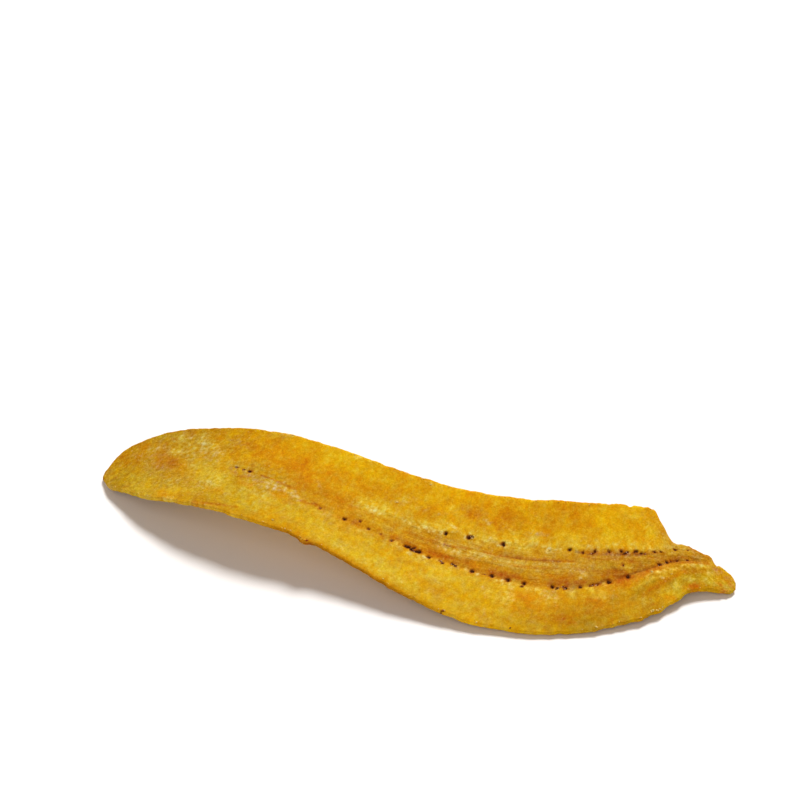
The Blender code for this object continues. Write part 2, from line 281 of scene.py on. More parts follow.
# Marks on the shown face: kind, reach in mm, strength, then the px that the mark runs through
MARKS = [
    # rounded end
    ("pink", 1.5, 0.55, (107, 471), (105.5, 479), (111, 487)), ("olive", 4.5, 0.5, (118, 462), (140, 452), (158, 444)),
    ("lemon", 3.6, 0.6, (114, 475), (132, 478), (146, 482)), ("lemon", 2.4, 0.5, (128, 487), (150, 492), (175, 492)),
    ("red", 0.5, 0.45, (116, 477)), ("orange", 1.4, 0.35, (128, 485)), ("orange", 1.6, 0.4, (155, 490), (164, 493)),
    ("orange", 6.0, 0.42, (158, 458), (172, 463), (182, 468)), ("red", 2.6, 0.34, (162, 461), (172, 462)),
    ("red", 1.6, 0.26, (153, 455), (158, 457)), ("red", 1.4, 0.34, (170, 460), (173, 465)), ("orange", 2.6, 0.5, (181, 467), (187, 470)),
    ("pink", 2.2, 0.5, (150, 452), (160, 447)), ("pink", 1.8, 0.4, (138, 446)), ("pink", 1.2, 0.4, (133, 456), (139, 457)),
    ("cream", 1.5, 0.62, (176, 441), (181, 439)), ("white", 1.2, 0.54, (171, 452), (182, 452)), ("white", 0.8, 0.43, (158, 448)),
    ("white", 0.9, 0.5, (203.5, 435), (204, 441), (204.5, 448)), ("cream", 1.8, 0.47, (202, 440), (205, 449)),
    ("cream", 1.2, 0.47, (212, 444), (214, 448)), ("white", 0.9, 0.5, (218, 451), (221, 453)), ("white", 0.8, 0.5, (218, 460)),
    ("pink", 1.2, 0.6, (184, 433), (192, 437)), ("white", 0.6, 0.43, (191, 437)), ("cream", 1.0, 0.47, (187, 444), (193, 447)),
    ("cream", 1.2, 0.43, (188, 455), (191, 459)), ("pink", 2.0, 0.55, (205, 455), (213, 458)), ("pink", 1.4, 0.55, (199, 451)),
    ("cream", 0.9, 0.47, (192, 464), (194, 467)), ("pink", 0.8, 0.6, (193, 472)), ("white", 0.6, 0.5, (187.5, 477)),
    ("cream", 1.0, 0.55, (170, 480), (177, 479)), ("pink", 1.0, 0.5, (160, 470), (166, 468)), ("cream", 0.8, 0.39, (172, 484.5)),
    ("pink", 0.8, 0.6, (154, 464), (157, 466)), ("pink", 0.9, 0.5, (186, 462)), ("pink", 1.0, 0.5, (146, 468)),
    ("orange", 1.5, 0.5, (216, 441), (217, 447)), ("orange", 1.2, 0.5, (219, 437)), ("olive", 2.2, 0.35, (176, 433), (168, 441)),
    ("lemon", 3.4, 0.75, (198, 466), (212, 468), (222, 474)), ("lemon", 3.4, 0.6, (204, 476), (218, 480)),
    ("cream", 2.0, 0.42, (208, 480), (215, 484)), ("white", 0.9, 0.33, (211, 482)), ("cream", 1.2, 0.39, (203, 487), (208, 483)),
    ("pink", 1.6, 0.5, (186, 482), (199, 485)), ("pink", 0.8, 0.6, (196, 485.5)), ("orange", 1.0, 0.65, (208, 489), (221, 490)),
    ("pink", 0.8, 0.6, (222, 491.5)), ("lemon", 1.6, 0.6, (170, 489), (195, 489)), ("cream", 1.2, 0.39, (230, 494), (223, 496)),
    ("orange", 1.5, 0.45, (160, 494), (185, 495), (200, 497)), ("brown", 0.35, 0.24, (196, 497.5), (206, 499)),
    ("red", 0.55, 0.71, (192, 501), (205, 502.8), (224, 505)), ("red", 0.3, 0.45, (224, 505), (238, 506.5)),
    # the white mark at (163, 499.5) to (172, 500.5) is a painted highlight on the front edge
    ("brown", 0.35, 0.3, (208, 502.6), (220, 504.2)), ("red", 0.6, 0.38, (163, 431), (171, 430)), ("white", 0.45, 0.58, (163, 499.5), (172, 500.5)),
    ("orange", 1.0, 0.8, (294, 538), (304, 541)), ("red", 0.5, 0.6, (303, 542), (310, 543.5)), ("pink", 0.6, 0.5, (300, 536), (308, 538)), ("pink", 0.9, 0.4, (119, 466)), ("orange", 2.4, 0.35, (226, 456), (246, 459)), ("orange", 2.2, 0.4, (221, 468), (231, 470)),
    ("cream", 4.5, 0.26, (168, 445), (190, 444), (210, 446)), ("cream", 3.0, 0.2, (150, 466), (172, 479)), ("pink", 4.0, 0.30, (150, 452), (166, 470)),
    ("cream", 3.2, 0.14, (205, 478), (222, 486)), ("tan", 3.4, 0.30, (196, 456), (216, 462)),
    # between the rounded end and the seeds
    ("pink", 1.8, 0.5, (233, 441), (246, 444)), ("red", 1.6, 0.19, (244, 445), (252, 449)), ("white", 0.6, 0.29, (240, 438)),
    ("orange", 3.0, 0.45, (262, 444), (270, 452)), ("orange", 5.0, 0.8, (275, 458), (296, 468), (304, 480)),
    ("orange", 4.5, 0.45, (300, 484), (320, 492), (345, 500)), ("orange", 3.0, 0.5, (330, 500), (352, 507)),
    ("red", 2.6, 0.22, (296, 470), (302, 482)), ("red", 4.0, 0.15, (322, 492), (346, 502)), ("white", 0.5, 0.4, (280.5, 457)),
    ("tan", 2.2, 0.54, (255, 466), (266, 468), (282, 474)), ("olive", 1.6, 0.35, (262, 466), (280, 476)),
    ("pink", 0.6, 0.75, (318.6, 481), (319.2, 486)), ("white", 0.6, 0.61, (287, 433.2), (292, 434.6)), ("pink", 1.0, 0.6, (282, 434), (286, 437)),
    ("white", 1.2, 0.4, (217, 447), (219, 452)), ("cream", 1.4, 0.39, (228, 462), (236, 463)), ("pink", 1.6, 0.8, (234, 470), (239, 473)),
    ("cream", 0.8, 0.47, (232, 464), (236, 465)), ("pink", 0.6, 0.5, (249, 474.5), (254, 474)),
    ("tan", 1.8, 0.81, (246, 474), (262, 480), (276, 487), (296, 496)), ("pink", 1.6, 0.7, (247, 479), (262, 484), (276, 489)),
    ("white", 0.7, 0.5, (263, 477.5), (267, 479)), ("white", 1.0, 0.65, (270, 481), (278, 484.5)), ("white", 0.7, 0.5, (266, 485), (274, 488)),
    ("white", 0.9, 0.65, (286, 489), (293, 492)), ("white", 0.7, 0.65, (294.5, 495.5), (299.5, 498.5)), ("cream", 1.2, 0.62, (285, 484), (291, 483)),
    ("white", 0.5, 0.43, (250, 480), (258, 484)), ("red", 0.35, 0.68, (261, 475), (270, 477.5), (278, 481)),
    ("red", 0.5, 0.6, (280, 482), (288, 485.5), (295, 488)), ("red", 0.35, 0.6, (300, 500), (307, 502), (312, 503.5)),
    ("brown", 0.3, 0.36, (262, 476), (268, 477)), ("brown", 0.3, 0.36, (285, 484), (290, 486)), ("red", 0.5, 0.68, (314, 502.5), (320, 507)),
    ("red", 0.4, 0.38, (238, 475.5), (250, 476.5)), ("red", 0.4, 0.34, (254, 481), (262, 482)), ("red", 0.4, 0.38, (281, 488), (283, 493)),
    ("orange", 0.8, 0.9, (240, 482), (252, 485)), ("orange", 1.3, 0.9, (272, 492), (284, 496.5)), ("orange", 0.8, 0.6, (288, 500), (292, 502)),
    ("cream", 2.2, 0.47, (250, 490), (262, 494), (271, 499)), ("cream", 1.2, 0.47, (262, 492), (268, 497)), ("lemon", 3.0, 0.6, (240, 494), (262, 503)),
    ("pink", 1.2, 0.5, (288, 500), (293, 501)), ("pink", 1.0, 0.6, (299, 503), (306, 506)), ("cream", 1.2, 0.31, (256, 505), (262, 508)),
    ("pink", 1.4, 0.6, (323, 513), (330, 518)), ("cream", 1.2, 0.43, (333, 523), (338, 527)), ("lemon", 3.0, 0.5, (290, 510), (318, 520)),
    ("cream", 1.0, 0.39, (281, 513), (287, 518)), ("pink", 0.8, 0.4, (262, 500)), ("orange", 1.8, 0.4, (262, 512), (280, 517)),
    ("cream", 0.9, 0.47, (320, 530), (326, 533)), ("cream", 0.8, 0.47, (309, 527), (312, 530)), ("lemon", 2.2, 0.5, (322, 538), (338, 544)),
    ("orange", 3.0, 0.3, (352, 475), (372, 482)), ("yellow", 4.0, 0.6, (310, 446), (345, 458), (372, 470)),
    ("yellow", 3.0, 0.5, (345, 455), (368, 462), (390, 470)), ("cream", 1.0, 0.27, (262, 432), (268, 435)),
    # the back flank up to the first seeds of the back row
    # the white marks on this line are painted highlights along the back edge
    ("white", 0.5, 0.5, (355, 456), (366, 459)), ("white", 0.5, 0.5, (371, 461), (376, 463)), ("white", 0.45, 0.6, (428, 482), (432, 484)),
    ("lemon", 2.2, 0.5, (352, 487), (366, 492)), ("orange", 1.8, 0.5, (366, 492), (372, 497)), ("pink", 1.0, 0.5, (382, 499), (389, 499.5)),
    ("cream", 1.3, 0.7, (355, 503), (364, 507)), ("lemon", 2.0, 0.8, (366, 503), (380, 508)), ("white", 0.9, 0.9, (371, 509), (379.5, 512)),
    ("cream", 1.4, 0.7, (370, 506), (381, 509)), ("lemon", 2.2, 0.7, (383, 510), (398, 517), (410, 521)), ("cream", 0.8, 0.6, (386, 509), (396, 514)),
    ("cream", 0.6, 0.9, (399.5, 517), (406, 520), (413, 524), (420, 527)), ("white", 0.4, 0.7, (404, 519), (412, 523.5)),
    ("white", 0.65, 1.0, (396.8, 502.5)), ("pink", 2.4, 0.4, (400, 500), (412, 505)), ("cream", 0.7, 0.5, (404, 500), (406, 503)),
    ("pink", 1.0, 0.55, (420, 508), (426, 509)), ("pink", 0.9, 0.55, (438, 513), (444, 513.5)), ("white", 0.5, 0.45, (440, 513)),
    ("pink", 0.7, 0.5, (410, 498), (415, 500)), ("orange", 2.6, 0.35, (410, 512), (428, 516)), ("cream", 0.9, 0.5, (453, 508), (455, 512)),
    ("pink", 0.5, 0.6, (462.5, 505), (463.2, 512)), ("cream", 0.8, 0.6, (459, 516), (462, 519)), ("pink", 1.8, 0.5, (476, 514), (483, 520)),
    ("orange", 3.2, 0.55, (470, 510), (490, 515), (512, 514)), ("red", 2.2, 0.25, (474, 514), (484, 518)), ("red", 3.2, 0.25, (505, 514), (520, 517)),
    ("white", 0.45, 0.55, (486.5, 520), (489.5, 524)), ("pink", 0.5, 0.6, (490, 518), (492, 524)), ("red", 0.9, 0.35, (496, 526), (498, 529)),
    ("orange", 2.0, 0.5, (492, 530), (500, 533)), ("pink", 1.4, 0.4, (502, 525), (512, 530)), ("cream", 0.6, 0.45, (487, 494), (488, 500)),
    ("pink", 0.7, 0.65, (525, 531), (536, 533)), ("pink", 0.6, 0.85, (538, 533.5), (547, 535)), ("cream", 0.7, 0.5, (531, 529), (536, 532)),
    ("pink", 0.9, 0.4, (533, 512), (537, 515)), ("cream", 1.3, 0.4, (533, 539), (540, 541)), ("orange", 6.0, 0.35, (560, 512), (578, 515)),
    ("red", 5.0, 0.22, (555, 516), (572, 518)), ("yellow", 5.0, 0.5, (600, 520), (640, 522)), ("pink", 1.6, 0.3, (628, 512), (648, 514)),
    ("cream", 0.45, 0.6, (645, 526), (646.5, 528)), ("orange", 1.4, 0.6, (638, 541), (644, 542)), ("orange", 1.6, 0.4, (634, 530), (641, 533)),
    ("orange", 1.6, 0.35, (648, 511), (655, 520), (661, 530)), ("pink", 1.8, 0.4, (649, 520), (658, 530)), ("lemon", 2.4, 0.6, (655, 538), (668, 545)),
    ("cream", 1.0, 0.4, (664, 538), (668, 544)), ("lemon", 3.0, 0.4, (557, 534), (572, 540)), ("white", 0.3, 0.6, (625.5, 537)),
    # beside the back row
    ("cream", 1.3, 0.7, (420, 523), (431, 526)), ("white", 0.8, 0.85, (425, 527.5), (434, 529.5)), ("cream", 1.1, 0.6, (437, 524), (443, 530)),
    ("white", 0.6, 0.75, (440, 530), (443, 533)), ("white", 0.45, 0.8, (452, 524), (455, 527), (457.5, 530)), ("cream", 1.2, 0.5, (446, 524), (452, 529)),
    ("white", 0.5, 0.8, (464.5, 535), (466, 539)), ("white", 0.4, 0.7, (471, 534), (473, 538)), ("lemon", 1.6, 0.8, (479, 534), (486, 538)),
    ("cream", 1.2, 0.7, (474, 540), (486, 541)), ("white", 0.9, 0.85, (490, 538), (495, 541)), ("white", 0.5, 1.0, (499.5, 540.5), (500, 544)),
    ("white", 0.5, 0.9, (505, 546), (508, 545)), ("cream", 0.8, 0.8, (506, 540), (509, 543)), ("lemon", 1.6, 0.8, (514, 544), (526, 547)),
    # the white marks at (548, 548.3) to (551, 548.7) and at (548.5, 548) are a painted glint
    ("cream", 1.2, 0.8, (515, 543), (521, 546), (527, 549)), ("cream", 1.4, 0.6, (531, 543), (541, 546)), ("white", 0.8, 1.0, (548, 548.3), (551, 548.7)),
    ("white", 0.9, 0.8, (548.5, 548)), ("cream", 0.9, 0.9, (556, 547), (560, 549)), ("cream", 0.8, 0.7, (563, 547), (566, 550)),
    ("cream", 1.3, 0.6, (571, 543), (578, 546)), ("cream", 0.6, 0.8, (577, 551), (580, 553)), ("tan", 1.2, 0.7, (585, 541), (590, 547)),
    ("cream", 0.6, 0.8, (589, 546), (591, 549)), ("white", 0.4, 0.7, (597.5, 548), (600, 550)), ("tan", 1.2, 0.6, (600, 543), (607, 547)),
    ("cream", 0.5, 0.7, (604.5, 546), (606, 549)), ("cream", 0.6, 0.8, (613, 544), (615, 547)), ("white", 0.4, 0.7, (612, 552), (614, 553)),
    ("cream", 0.7, 0.8, (618.5, 543), (619.5, 548)), ("white", 0.45, 0.7, (628.5, 554), (632, 553)), ("cream", 0.7, 0.9, (632, 542), (634, 547)),
    ("cream", 0.9, 0.7, (645, 546), (651, 548)), ("cream", 0.6, 0.6, (657, 547), (661, 549)), ("tan", 1.0, 0.6, (664, 548), (673, 549)),
    ("pink", 0.6, 0.6, (679, 549), (684, 551)), ("white", 0.4, 0.6, (684, 548), (688, 549.5)), ("pink", 0.7, 0.6, (689, 551), (694, 553)),
    ("red", 0.7, 0.42, (580, 551), (600, 552.5), (622, 552.5), (646, 553), (664, 552)), ("brown", 0.3, 0.45, (588, 553.5), (612, 554), (640, 554), (652, 553.5)),
    ("pink", 0.7, 0.55, (592, 553.5), (612, 554.5), (632, 554.5)),
    ("pink", 0.6, 0.7, (581, 554), (587, 554.6)), ("pink", 0.6, 0.7, (592, 554.4), (599, 554)), ("pink", 0.5, 0.6, (606, 553.6), (613, 553)),
    ("brown", 0.45, 0.5, (576, 551), (582, 552.4)), ("brown", 0.4, 0.5, (590, 553), (595, 552.6)), ("brown", 0.4, 0.45, (607, 552.6), (611, 552.4)),
    ("pink", 0.5, 0.6, (618, 549), (622, 548.6)), ("cream", 0.45, 0.6, (616, 551), (618, 552.6)), ("brown", 0.45, 0.5, (619, 553), (628, 554)),
    ("pink", 0.5, 0.6, (632, 553.6), (640, 554.6)), ("brown", 0.4, 0.5, (633, 552.6), (646, 554)), ("tan", 0.6, 0.6, (598, 550.6), (604, 551.6)),
    # core
    ("tan", 1.1, 0.7, (436, 540), (446, 546), (460, 551)), ("white", 0.5, 0.75, (439, 545), (446, 548.5)), ("pink", 1.1, 0.7, (443, 546), (452, 551)),
    ("brown", 0.3, 0.55, (443.5, 543), (448, 545), (452, 546.5)), ("tan", 1.2, 0.65, (462, 549), (480, 553), (497, 558), (515, 563)),
    ("white", 0.3, 0.65, (470, 551.5), (482, 553), (491, 554.5)), ("pink", 0.8, 0.6, (455, 553), (468, 556), (482, 557)),
    ("red", 1.3, 0.5, (428, 539), (436, 541)), ("red", 0.7, 0.35, (408, 531), (420, 536)), ("orange", 1.5, 0.5, (352, 509), (375, 517), (400, 526), (414, 532)),
    ("red", 0.4, 0.5, (456, 546), (470, 548)), ("red", 0.45, 0.6, (484, 551), (492, 553.5), (498, 556)), ("orange", 1.4, 0.5, (440, 553), (470, 560)),
    ("red", 0.45, 0.65, (500, 555), (520, 557.5), (545, 559.5), (572, 560)), ("brown", 0.22, 0.4, (505, 556), (530, 558.5), (560, 560.5)),
    ("white", 0.32, 0.75, (531, 563), (550, 563.6), (573, 563.2)), ("tan", 1.2, 0.65, (500, 559), (530, 564), (560, 565), (590, 565)),
    ("cream", 0.3, 0.6, (500, 559.5), (515, 562), (530, 563)), ("cream", 0.3, 0.55, (520, 567), (545, 569.5), (562, 569)),
    ("tan", 0.9, 0.6, (505, 566), (530, 570), (560, 572), (580, 571)), ("red", 0.3, 0.4, (515, 565), (535, 567), (560, 567.5)),
    ("cream", 0.35, 0.5, (590, 562), (596, 564.5), (603, 567)), ("tan", 0.9, 0.5, (585, 558), (610, 559), (625, 558)),
    ("red", 0.35, 0.5, (585, 556.5), (600, 558.5), (622, 557)), ("red", 0.35, 0.45, (575, 568), (600, 570.5), (618, 569)),
    ("orange", 1.2, 0.5, (520, 575), (545, 578), (575, 577)), ("red", 1.0, 0.45, (548, 574), (560, 576), (572, 576)),
    ("white", 0.55, 0.7, (581, 577), (584, 573)), ("pink", 0.8, 0.7, (579, 570), (586, 574)), ("white", 0.35, 0.6, (586, 575)),
    ("olive", 1.2, 0.5, (600, 563), (612, 564)), ("lemon", 0.9, 0.6, (625, 566.5), (629, 568)), ("pink", 0.7, 0.7, (613, 558.5), (617, 557)),
    ("pink", 0.6, 0.7, (626, 556), (634, 557)), ("pink", 0.6, 0.6, (640, 555.5), (655, 555)), ("red", 0.8, 0.5, (630, 560), (640, 561)),
    ("red", 1.2, 0.5, (618, 572), (624, 575), (618, 579)), ("red", 0.5, 0.5, (602, 575), (616, 573)), ("brown", 0.5, 0.45, (612, 566), (622, 571)),
    ("red", 0.5, 0.45, (648, 557), (670, 556), (690, 557)), ("tan", 0.6, 0.55, (665, 553), (685, 554), (700, 557)),
    ("red", 0.4, 0.5, (660, 559.5), (676, 558.5)), ("pink", 0.6, 0.5, (692, 555), (702, 558)), ("orange", 0.8, 0.5, (690, 560), (707, 562)),
    ("orange", 1.0, 0.9, (424, 552), (438, 556), (455, 560.5)), ("red", 0.6, 0.45, (430, 551.5), (448, 556.5)), ("cream", 0.9, 0.6, (438, 541.5), (450, 546), (460, 549.5)),
    ("cream", 0.4, 0.8, (448, 549.5), (468, 553.5), (490, 556.5)), ("cream", 0.35, 0.7, (470, 550.5), (485, 553), (497, 556)), ("red", 0.3, 0.6, (444, 543.5), (455, 546.5)),
    ("tan", 0.5, 0.7, (452, 553), (470, 557.5), (488, 560)), ("orange", 1.1, 0.7, (474, 562), (494, 567.5), (508, 571)),
    # beside the front row
    ("red", 0.7, 0.5, (352, 522), (358, 521)), ("red", 0.6, 0.5, (379, 529), (381, 535)), ("red", 0.7, 0.8, (391, 536.5), (396, 537)),
    ("red", 1.0, 0.5, (406, 542), (416, 545)), ("red", 0.9, 0.6, (427, 549), (434, 552)), ("red", 0.8, 0.6, (440, 555), (447, 557)),
    ("orange", 1.8, 0.7, (398, 538), (420, 546), (440, 553)), ("red", 0.6, 0.5, (452, 557), (457, 562)), ("red", 1.0, 0.55, (466, 561), (474, 566)),
    ("red", 0.9, 0.8, (490, 570.5), (500, 573), (508, 574.5)), ("red", 0.9, 0.7, (500, 574), (503, 577)), ("red", 0.8, 0.7, (514, 575), (521, 578)),
    ("orange", 1.5, 0.6, (470, 566), (488, 570)), ("red", 0.9, 0.95, (558, 582), (567, 581), (566, 585)), ("red", 0.8, 0.95, (577, 581.5), (583, 581)),
    ("orange", 1.3, 0.8, (532, 582), (546, 583)), ("red", 0.5, 0.5, (548, 584), (552, 581)), ("brown", 0.35, 0.8, (589, 584), (596, 582.5), (601, 582)),
    ("red", 0.6, 0.7, (594, 585), (600, 584)), ("brown", 0.5, 0.6, (603, 580.5), (608, 579)), ("pink", 0.5, 0.7, (603, 584), (606, 585)),
    ("white", 0.4, 0.8, (604.5, 582.5)), ("white", 0.3, 0.7, (612, 578)), ("cream", 0.5, 0.7, (589, 587), (592, 589)),
    # the small white marks on this line and the next two, just below the seeds of the front row, are painted highlights
    ("white", 0.45, 0.85, (407, 551.5), (410, 552)), ("white", 0.45, 0.9, (424, 556), (426, 558)), ("white", 0.4, 0.8, (437, 559), (439, 561)),
    ("white", 0.35, 0.7, (449, 565.5), (450.5, 567)), ("pink", 0.4, 0.7, (453, 567), (457, 568)), ("white", 0.5, 0.8, (466, 568), (468, 571)),
    ("white", 0.45, 0.85, (474, 572), (477, 573.5)), ("pink", 0.4, 0.6, (341, 517), (342, 520)), ("white", 0.35, 0.6, (390, 543), (392, 544)),
    ("cream", 1.0, 0.7, (392, 541), (399, 545)), ("cream", 1.3, 0.6, (415, 555), (424, 559)), ("lemon", 2.0, 0.6, (440, 572), (450, 578)),
    ("orange", 2.4, 0.5, (340, 524), (360, 527)), ("cream", 1.2, 0.5, (355, 527), (362, 532)), ("orange", 0.8, 0.5, (336, 508), (343, 513)),
    ("cream", 1.0, 0.9, (496, 579), (504, 582)), ("white", 0.5, 0.7, (498, 580), (502, 581)), ("cream", 0.8, 0.6, (510, 584), (520, 586)),
    ("cream", 1.6, 0.7, (508, 587), (510, 597)), ("cream", 1.2, 0.5, (508, 600), (509, 606)), ("white", 0.3, 0.95, (512, 589), (514, 595), (513.5, 602)),
    ("pink", 0.45, 0.9, (482, 584), (484.5, 590), (486.5, 597)), ("white", 0.25, 0.5, (483, 586), (486, 594)), ("cream", 0.9, 0.5, (487, 590), (489, 595)),
    ("cream", 1.0, 0.75, (527, 588.5), (538, 590)), ("cream", 0.8, 0.7, (537, 590), (544, 595)), ("pink", 0.7, 0.7, (544, 592), (547, 599)),
    ("white", 0.4, 0.8, (545, 591), (548.5, 598)), ("pink", 0.8, 0.8, (552, 591), (556, 597), (556, 603)), ("white", 0.4, 0.7, (554, 594), (556, 600)),
    ("cream", 1.0, 0.5, (541, 600), (548, 604)), ("orange", 1.6, 0.9, (517, 594), (526, 597)), ("red", 0.8, 0.3, (518, 596), (525, 599)),
    ("orange", 1.6, 0.7, (530, 593), (536, 596)), ("orange", 1.8, 0.7, (531, 604), (538, 606)), ("orange", 3.0, 0.6, (520, 600), (545, 609), (575, 610)),
    ("cream", 1.4, 0.5, (497, 598), (502, 607)), ("orange", 1.6, 0.4, (500, 603), (520, 612)), ("cream", 0.8, 0.5, (566, 589), (572, 592)),
    ("lemon", 1.8, 0.7, (588, 589), (598, 592)), ("tan", 1.4, 0.5, (600, 589), (618, 593)), ("orange", 1.8, 0.6, (588, 600), (602, 602)),
    ("red", 1.2, 0.35, (592, 600), (600, 602)), ("orange", 2.6, 0.6, (612, 606), (628, 602)), ("red", 1.6, 0.25, (598, 610), (606, 611)),
    ("pink", 1.8, 0.4, (430, 591), (442, 596)), ("pink", 1.2, 0.45, (480, 608), (488, 612)), ("pink", 1.2, 0.4, (470, 605)),
    ("cream", 1.6, 0.5, (362, 565), (371, 569)), ("cream", 1.4, 0.45, (384, 574), (390, 577)), ("cream", 1.0, 0.5, (402, 581), (405, 586)),
    ("white", 0.6, 0.6, (341, 547), (343, 549)), ("pink", 1.0, 0.5, (407, 574), (412, 577)), ("cream", 1.4, 0.4, (430, 575), (440, 582)),
    ("pink", 1.0, 0.4, (346, 543), (353, 546)), ("orange", 2.6, 0.4, (395, 553), (412, 560)), ("orange", 2.4, 0.35, (430, 590), (470, 600)),
    ("lemon", 2.6, 0.9, (352, 552), (385, 566)), ("lemon", 2.6, 0.8, (400, 584), (418, 596), (452, 608)), ("yellow", 2.6, 0.6, (470, 596), (500, 605)),
    # lower band of the front flank
    ("olive", 2.4, 0.5, (500, 622), (540, 626), (590, 624)), ("olive", 3.0, 0.5, (590, 620), (625, 613), (650, 603)),
    ("pink", 1.0, 0.5, (478, 617), (484, 618)), ("red", 0.5, 0.7, (561, 619), (564, 618)), ("red", 1.2, 0.4, (558, 618), (568, 621)),
    ("red", 0.5, 0.5, (571, 621.5), (575, 622)), ("red", 0.5, 0.35, (585, 613), (590, 612)), ("pink", 0.9, 0.55, (596, 625), (599, 626)),
    ("red", 0.4, 0.4, (545, 627)), ("red", 0.4, 0.4, (521, 612)), ("pink", 1.4, 0.45, (530, 618), (545, 621)), ("pink", 1.0, 0.4, (577, 626)),
    ("pink", 0.9, 0.4, (511, 617)), ("cream", 0.7, 0.4, (490, 622), (500, 623)), ("lemon", 1.4, 0.4, (628, 612), (634, 609)),
    ("red", 0.4, 0.5, (654, 603.5)), ("red", 0.4, 0.4, (612, 619)), ("cream", 0.4, 0.5, (667.5, 602.5)), ("cream", 0.8, 0.4, (633, 617)),
    # pointed end: crease, pale crest, orange valley, flared edge
    ("orange", 2.2, 0.8, (604, 590), (624, 584), (644, 576), (662, 570)), ("red", 1.6, 0.3, (628, 581), (650, 572), (672, 565)),
    ("olive", 2.4, 0.5, (700, 574), (722, 582)), ("orange", 1.4, 0.6, (716, 575), (730, 582)), ("red", 0.6, 0.5, (728, 581), (732, 587)),
    ("red", 1.0, 0.6, (618, 582), (632, 577), (646, 571), (660, 567)), ("orange", 1.2, 0.7, (632, 583), (650, 573), (672, 566), (690, 563)),
    ("brown", 0.30, 0.6, (620, 576.5), (634, 572), (645, 569), (656, 565.5)), ("brown", 0.30, 0.6, (663, 563), (672, 560.5), (681, 560)),
    ("brown", 0.28, 0.5, (684, 560), (697, 560), (706, 562)), ("red", 0.35, 0.7, (676, 562), (694, 562), (708, 564)),
    ("lemon", 1.4, 0.65, (636, 587), (646, 581), (656, 574), (668, 570)), ("cream", 0.9, 0.6, (654, 576), (664, 571), (675, 569)),
    ("cream", 0.7, 0.5, (675, 567.5), (690, 564.5), (702, 565), (710, 567)), ("tan", 1.2, 0.45, (684, 567), (704, 567), (716, 571)),
    # the white marks at (651.4, 571) and (661.5, 576.8) and the pink one at (671, 574) are painted glints on the crest
    ("white", 0.3, 1.0, (651.4, 571), (652.2, 572.3)), ("white", 0.28, 0.95, (661.5, 576.8), (663.2, 577.6)), ("pink", 0.3, 0.7, (671, 574)),
    ("white", 0.3, 0.7, (661, 563.8), (663, 563)), ("pink", 0.3, 0.7, (683, 561), (685, 560)), ("olive", 1.6, 0.5, (612, 600), (640, 592)),
    ("orange", 1.5, 0.8, (646, 592), (656, 585), (668, 578), (680, 573)), ("red", 0.7, 0.35, (650, 590), (662, 582), (676, 575)),
    ("orange", 1.2, 0.7, (680, 572), (694, 570), (706, 571)), ("red", 0.6, 0.3, (684, 572), (702, 571.5)), ("orange", 2.4, 0.4, (640, 602), (655, 596)),
    ("lemon", 1.5, 0.7, (676, 582), (684, 578), (692, 577)), ("cream", 0.7, 0.6, (676, 583), (680, 590)), ("lemon", 1.6, 0.8, (665, 592), (676, 588)),
    ("yellow", 1.6, 0.7, (662, 599), (680, 592)), ("orange", 0.9, 0.9, (668, 597), (673, 597)), ("red", 0.8, 0.9, (691, 586), (696, 585)),
    ("red", 0.45, 0.8, (698, 586)), ("orange", 1.2, 0.9, (686, 586), (700, 588)), ("orange", 0.7, 0.8, (700, 582), (704, 583)),
    ("cream", 0.7, 0.6, (708, 573), (714, 577)), ("lemon", 1.6, 0.6, (703, 578), (716, 580)), ("orange", 0.8, 0.9, (718, 582), (721, 585)),
    ("red", 0.5, 0.6, (720, 584), (722, 588)), ("pink", 0.9, 0.6, (714, 569), (724, 574), (731, 580)), ("orange", 0.9, 0.6, (724, 577), (731, 584)),
    ("pink", 0.8, 0.7, (722, 588), (730, 590)), ("red", 0.4, 0.6, (722, 590), (727, 592)), ("lemon", 0.8, 0.6, (724, 582), (727, 586)),
    ("cream", 0.5, 0.5, (731, 584), (732, 589)), ("orange", 0.8, 0.5, (716, 588), (720, 590)), ("red", 0.6, 0.5, (712, 566), (718, 570)),
    ("tan", 0.7, 0.75, (716, 568.5), (724, 573.5), (731, 580)), ("red", 0.4, 0.3, (714, 567.5), (722, 572), (729, 578)), ("tan", 0.8, 0.6, (728, 581), (733, 587)),
    ("tan", 1.2, 0.55, (688, 549), (698, 552), (709, 559)), ("red", 0.4, 0.5, (690, 547.5), (700, 551), (709, 557)),
    ("cream", 0.7, 0.6, (646, 577), (657, 571.5), (668, 568.5)), ("cream", 0.6, 0.5, (678, 566.5), (692, 565), (704, 565.6)),
    ("cream", 1.0, 0.5, (600, 594), (606, 598)), ("cream", 0.9, 0.5, (640, 598), (644, 602)), ("cream", 0.8, 0.5, (668, 590), (674, 587)),
    ("cream", 0.8, 0.5, (706, 580), (712, 583)), ("cream", 0.7, 0.45, (690, 580), (696, 578)),
]


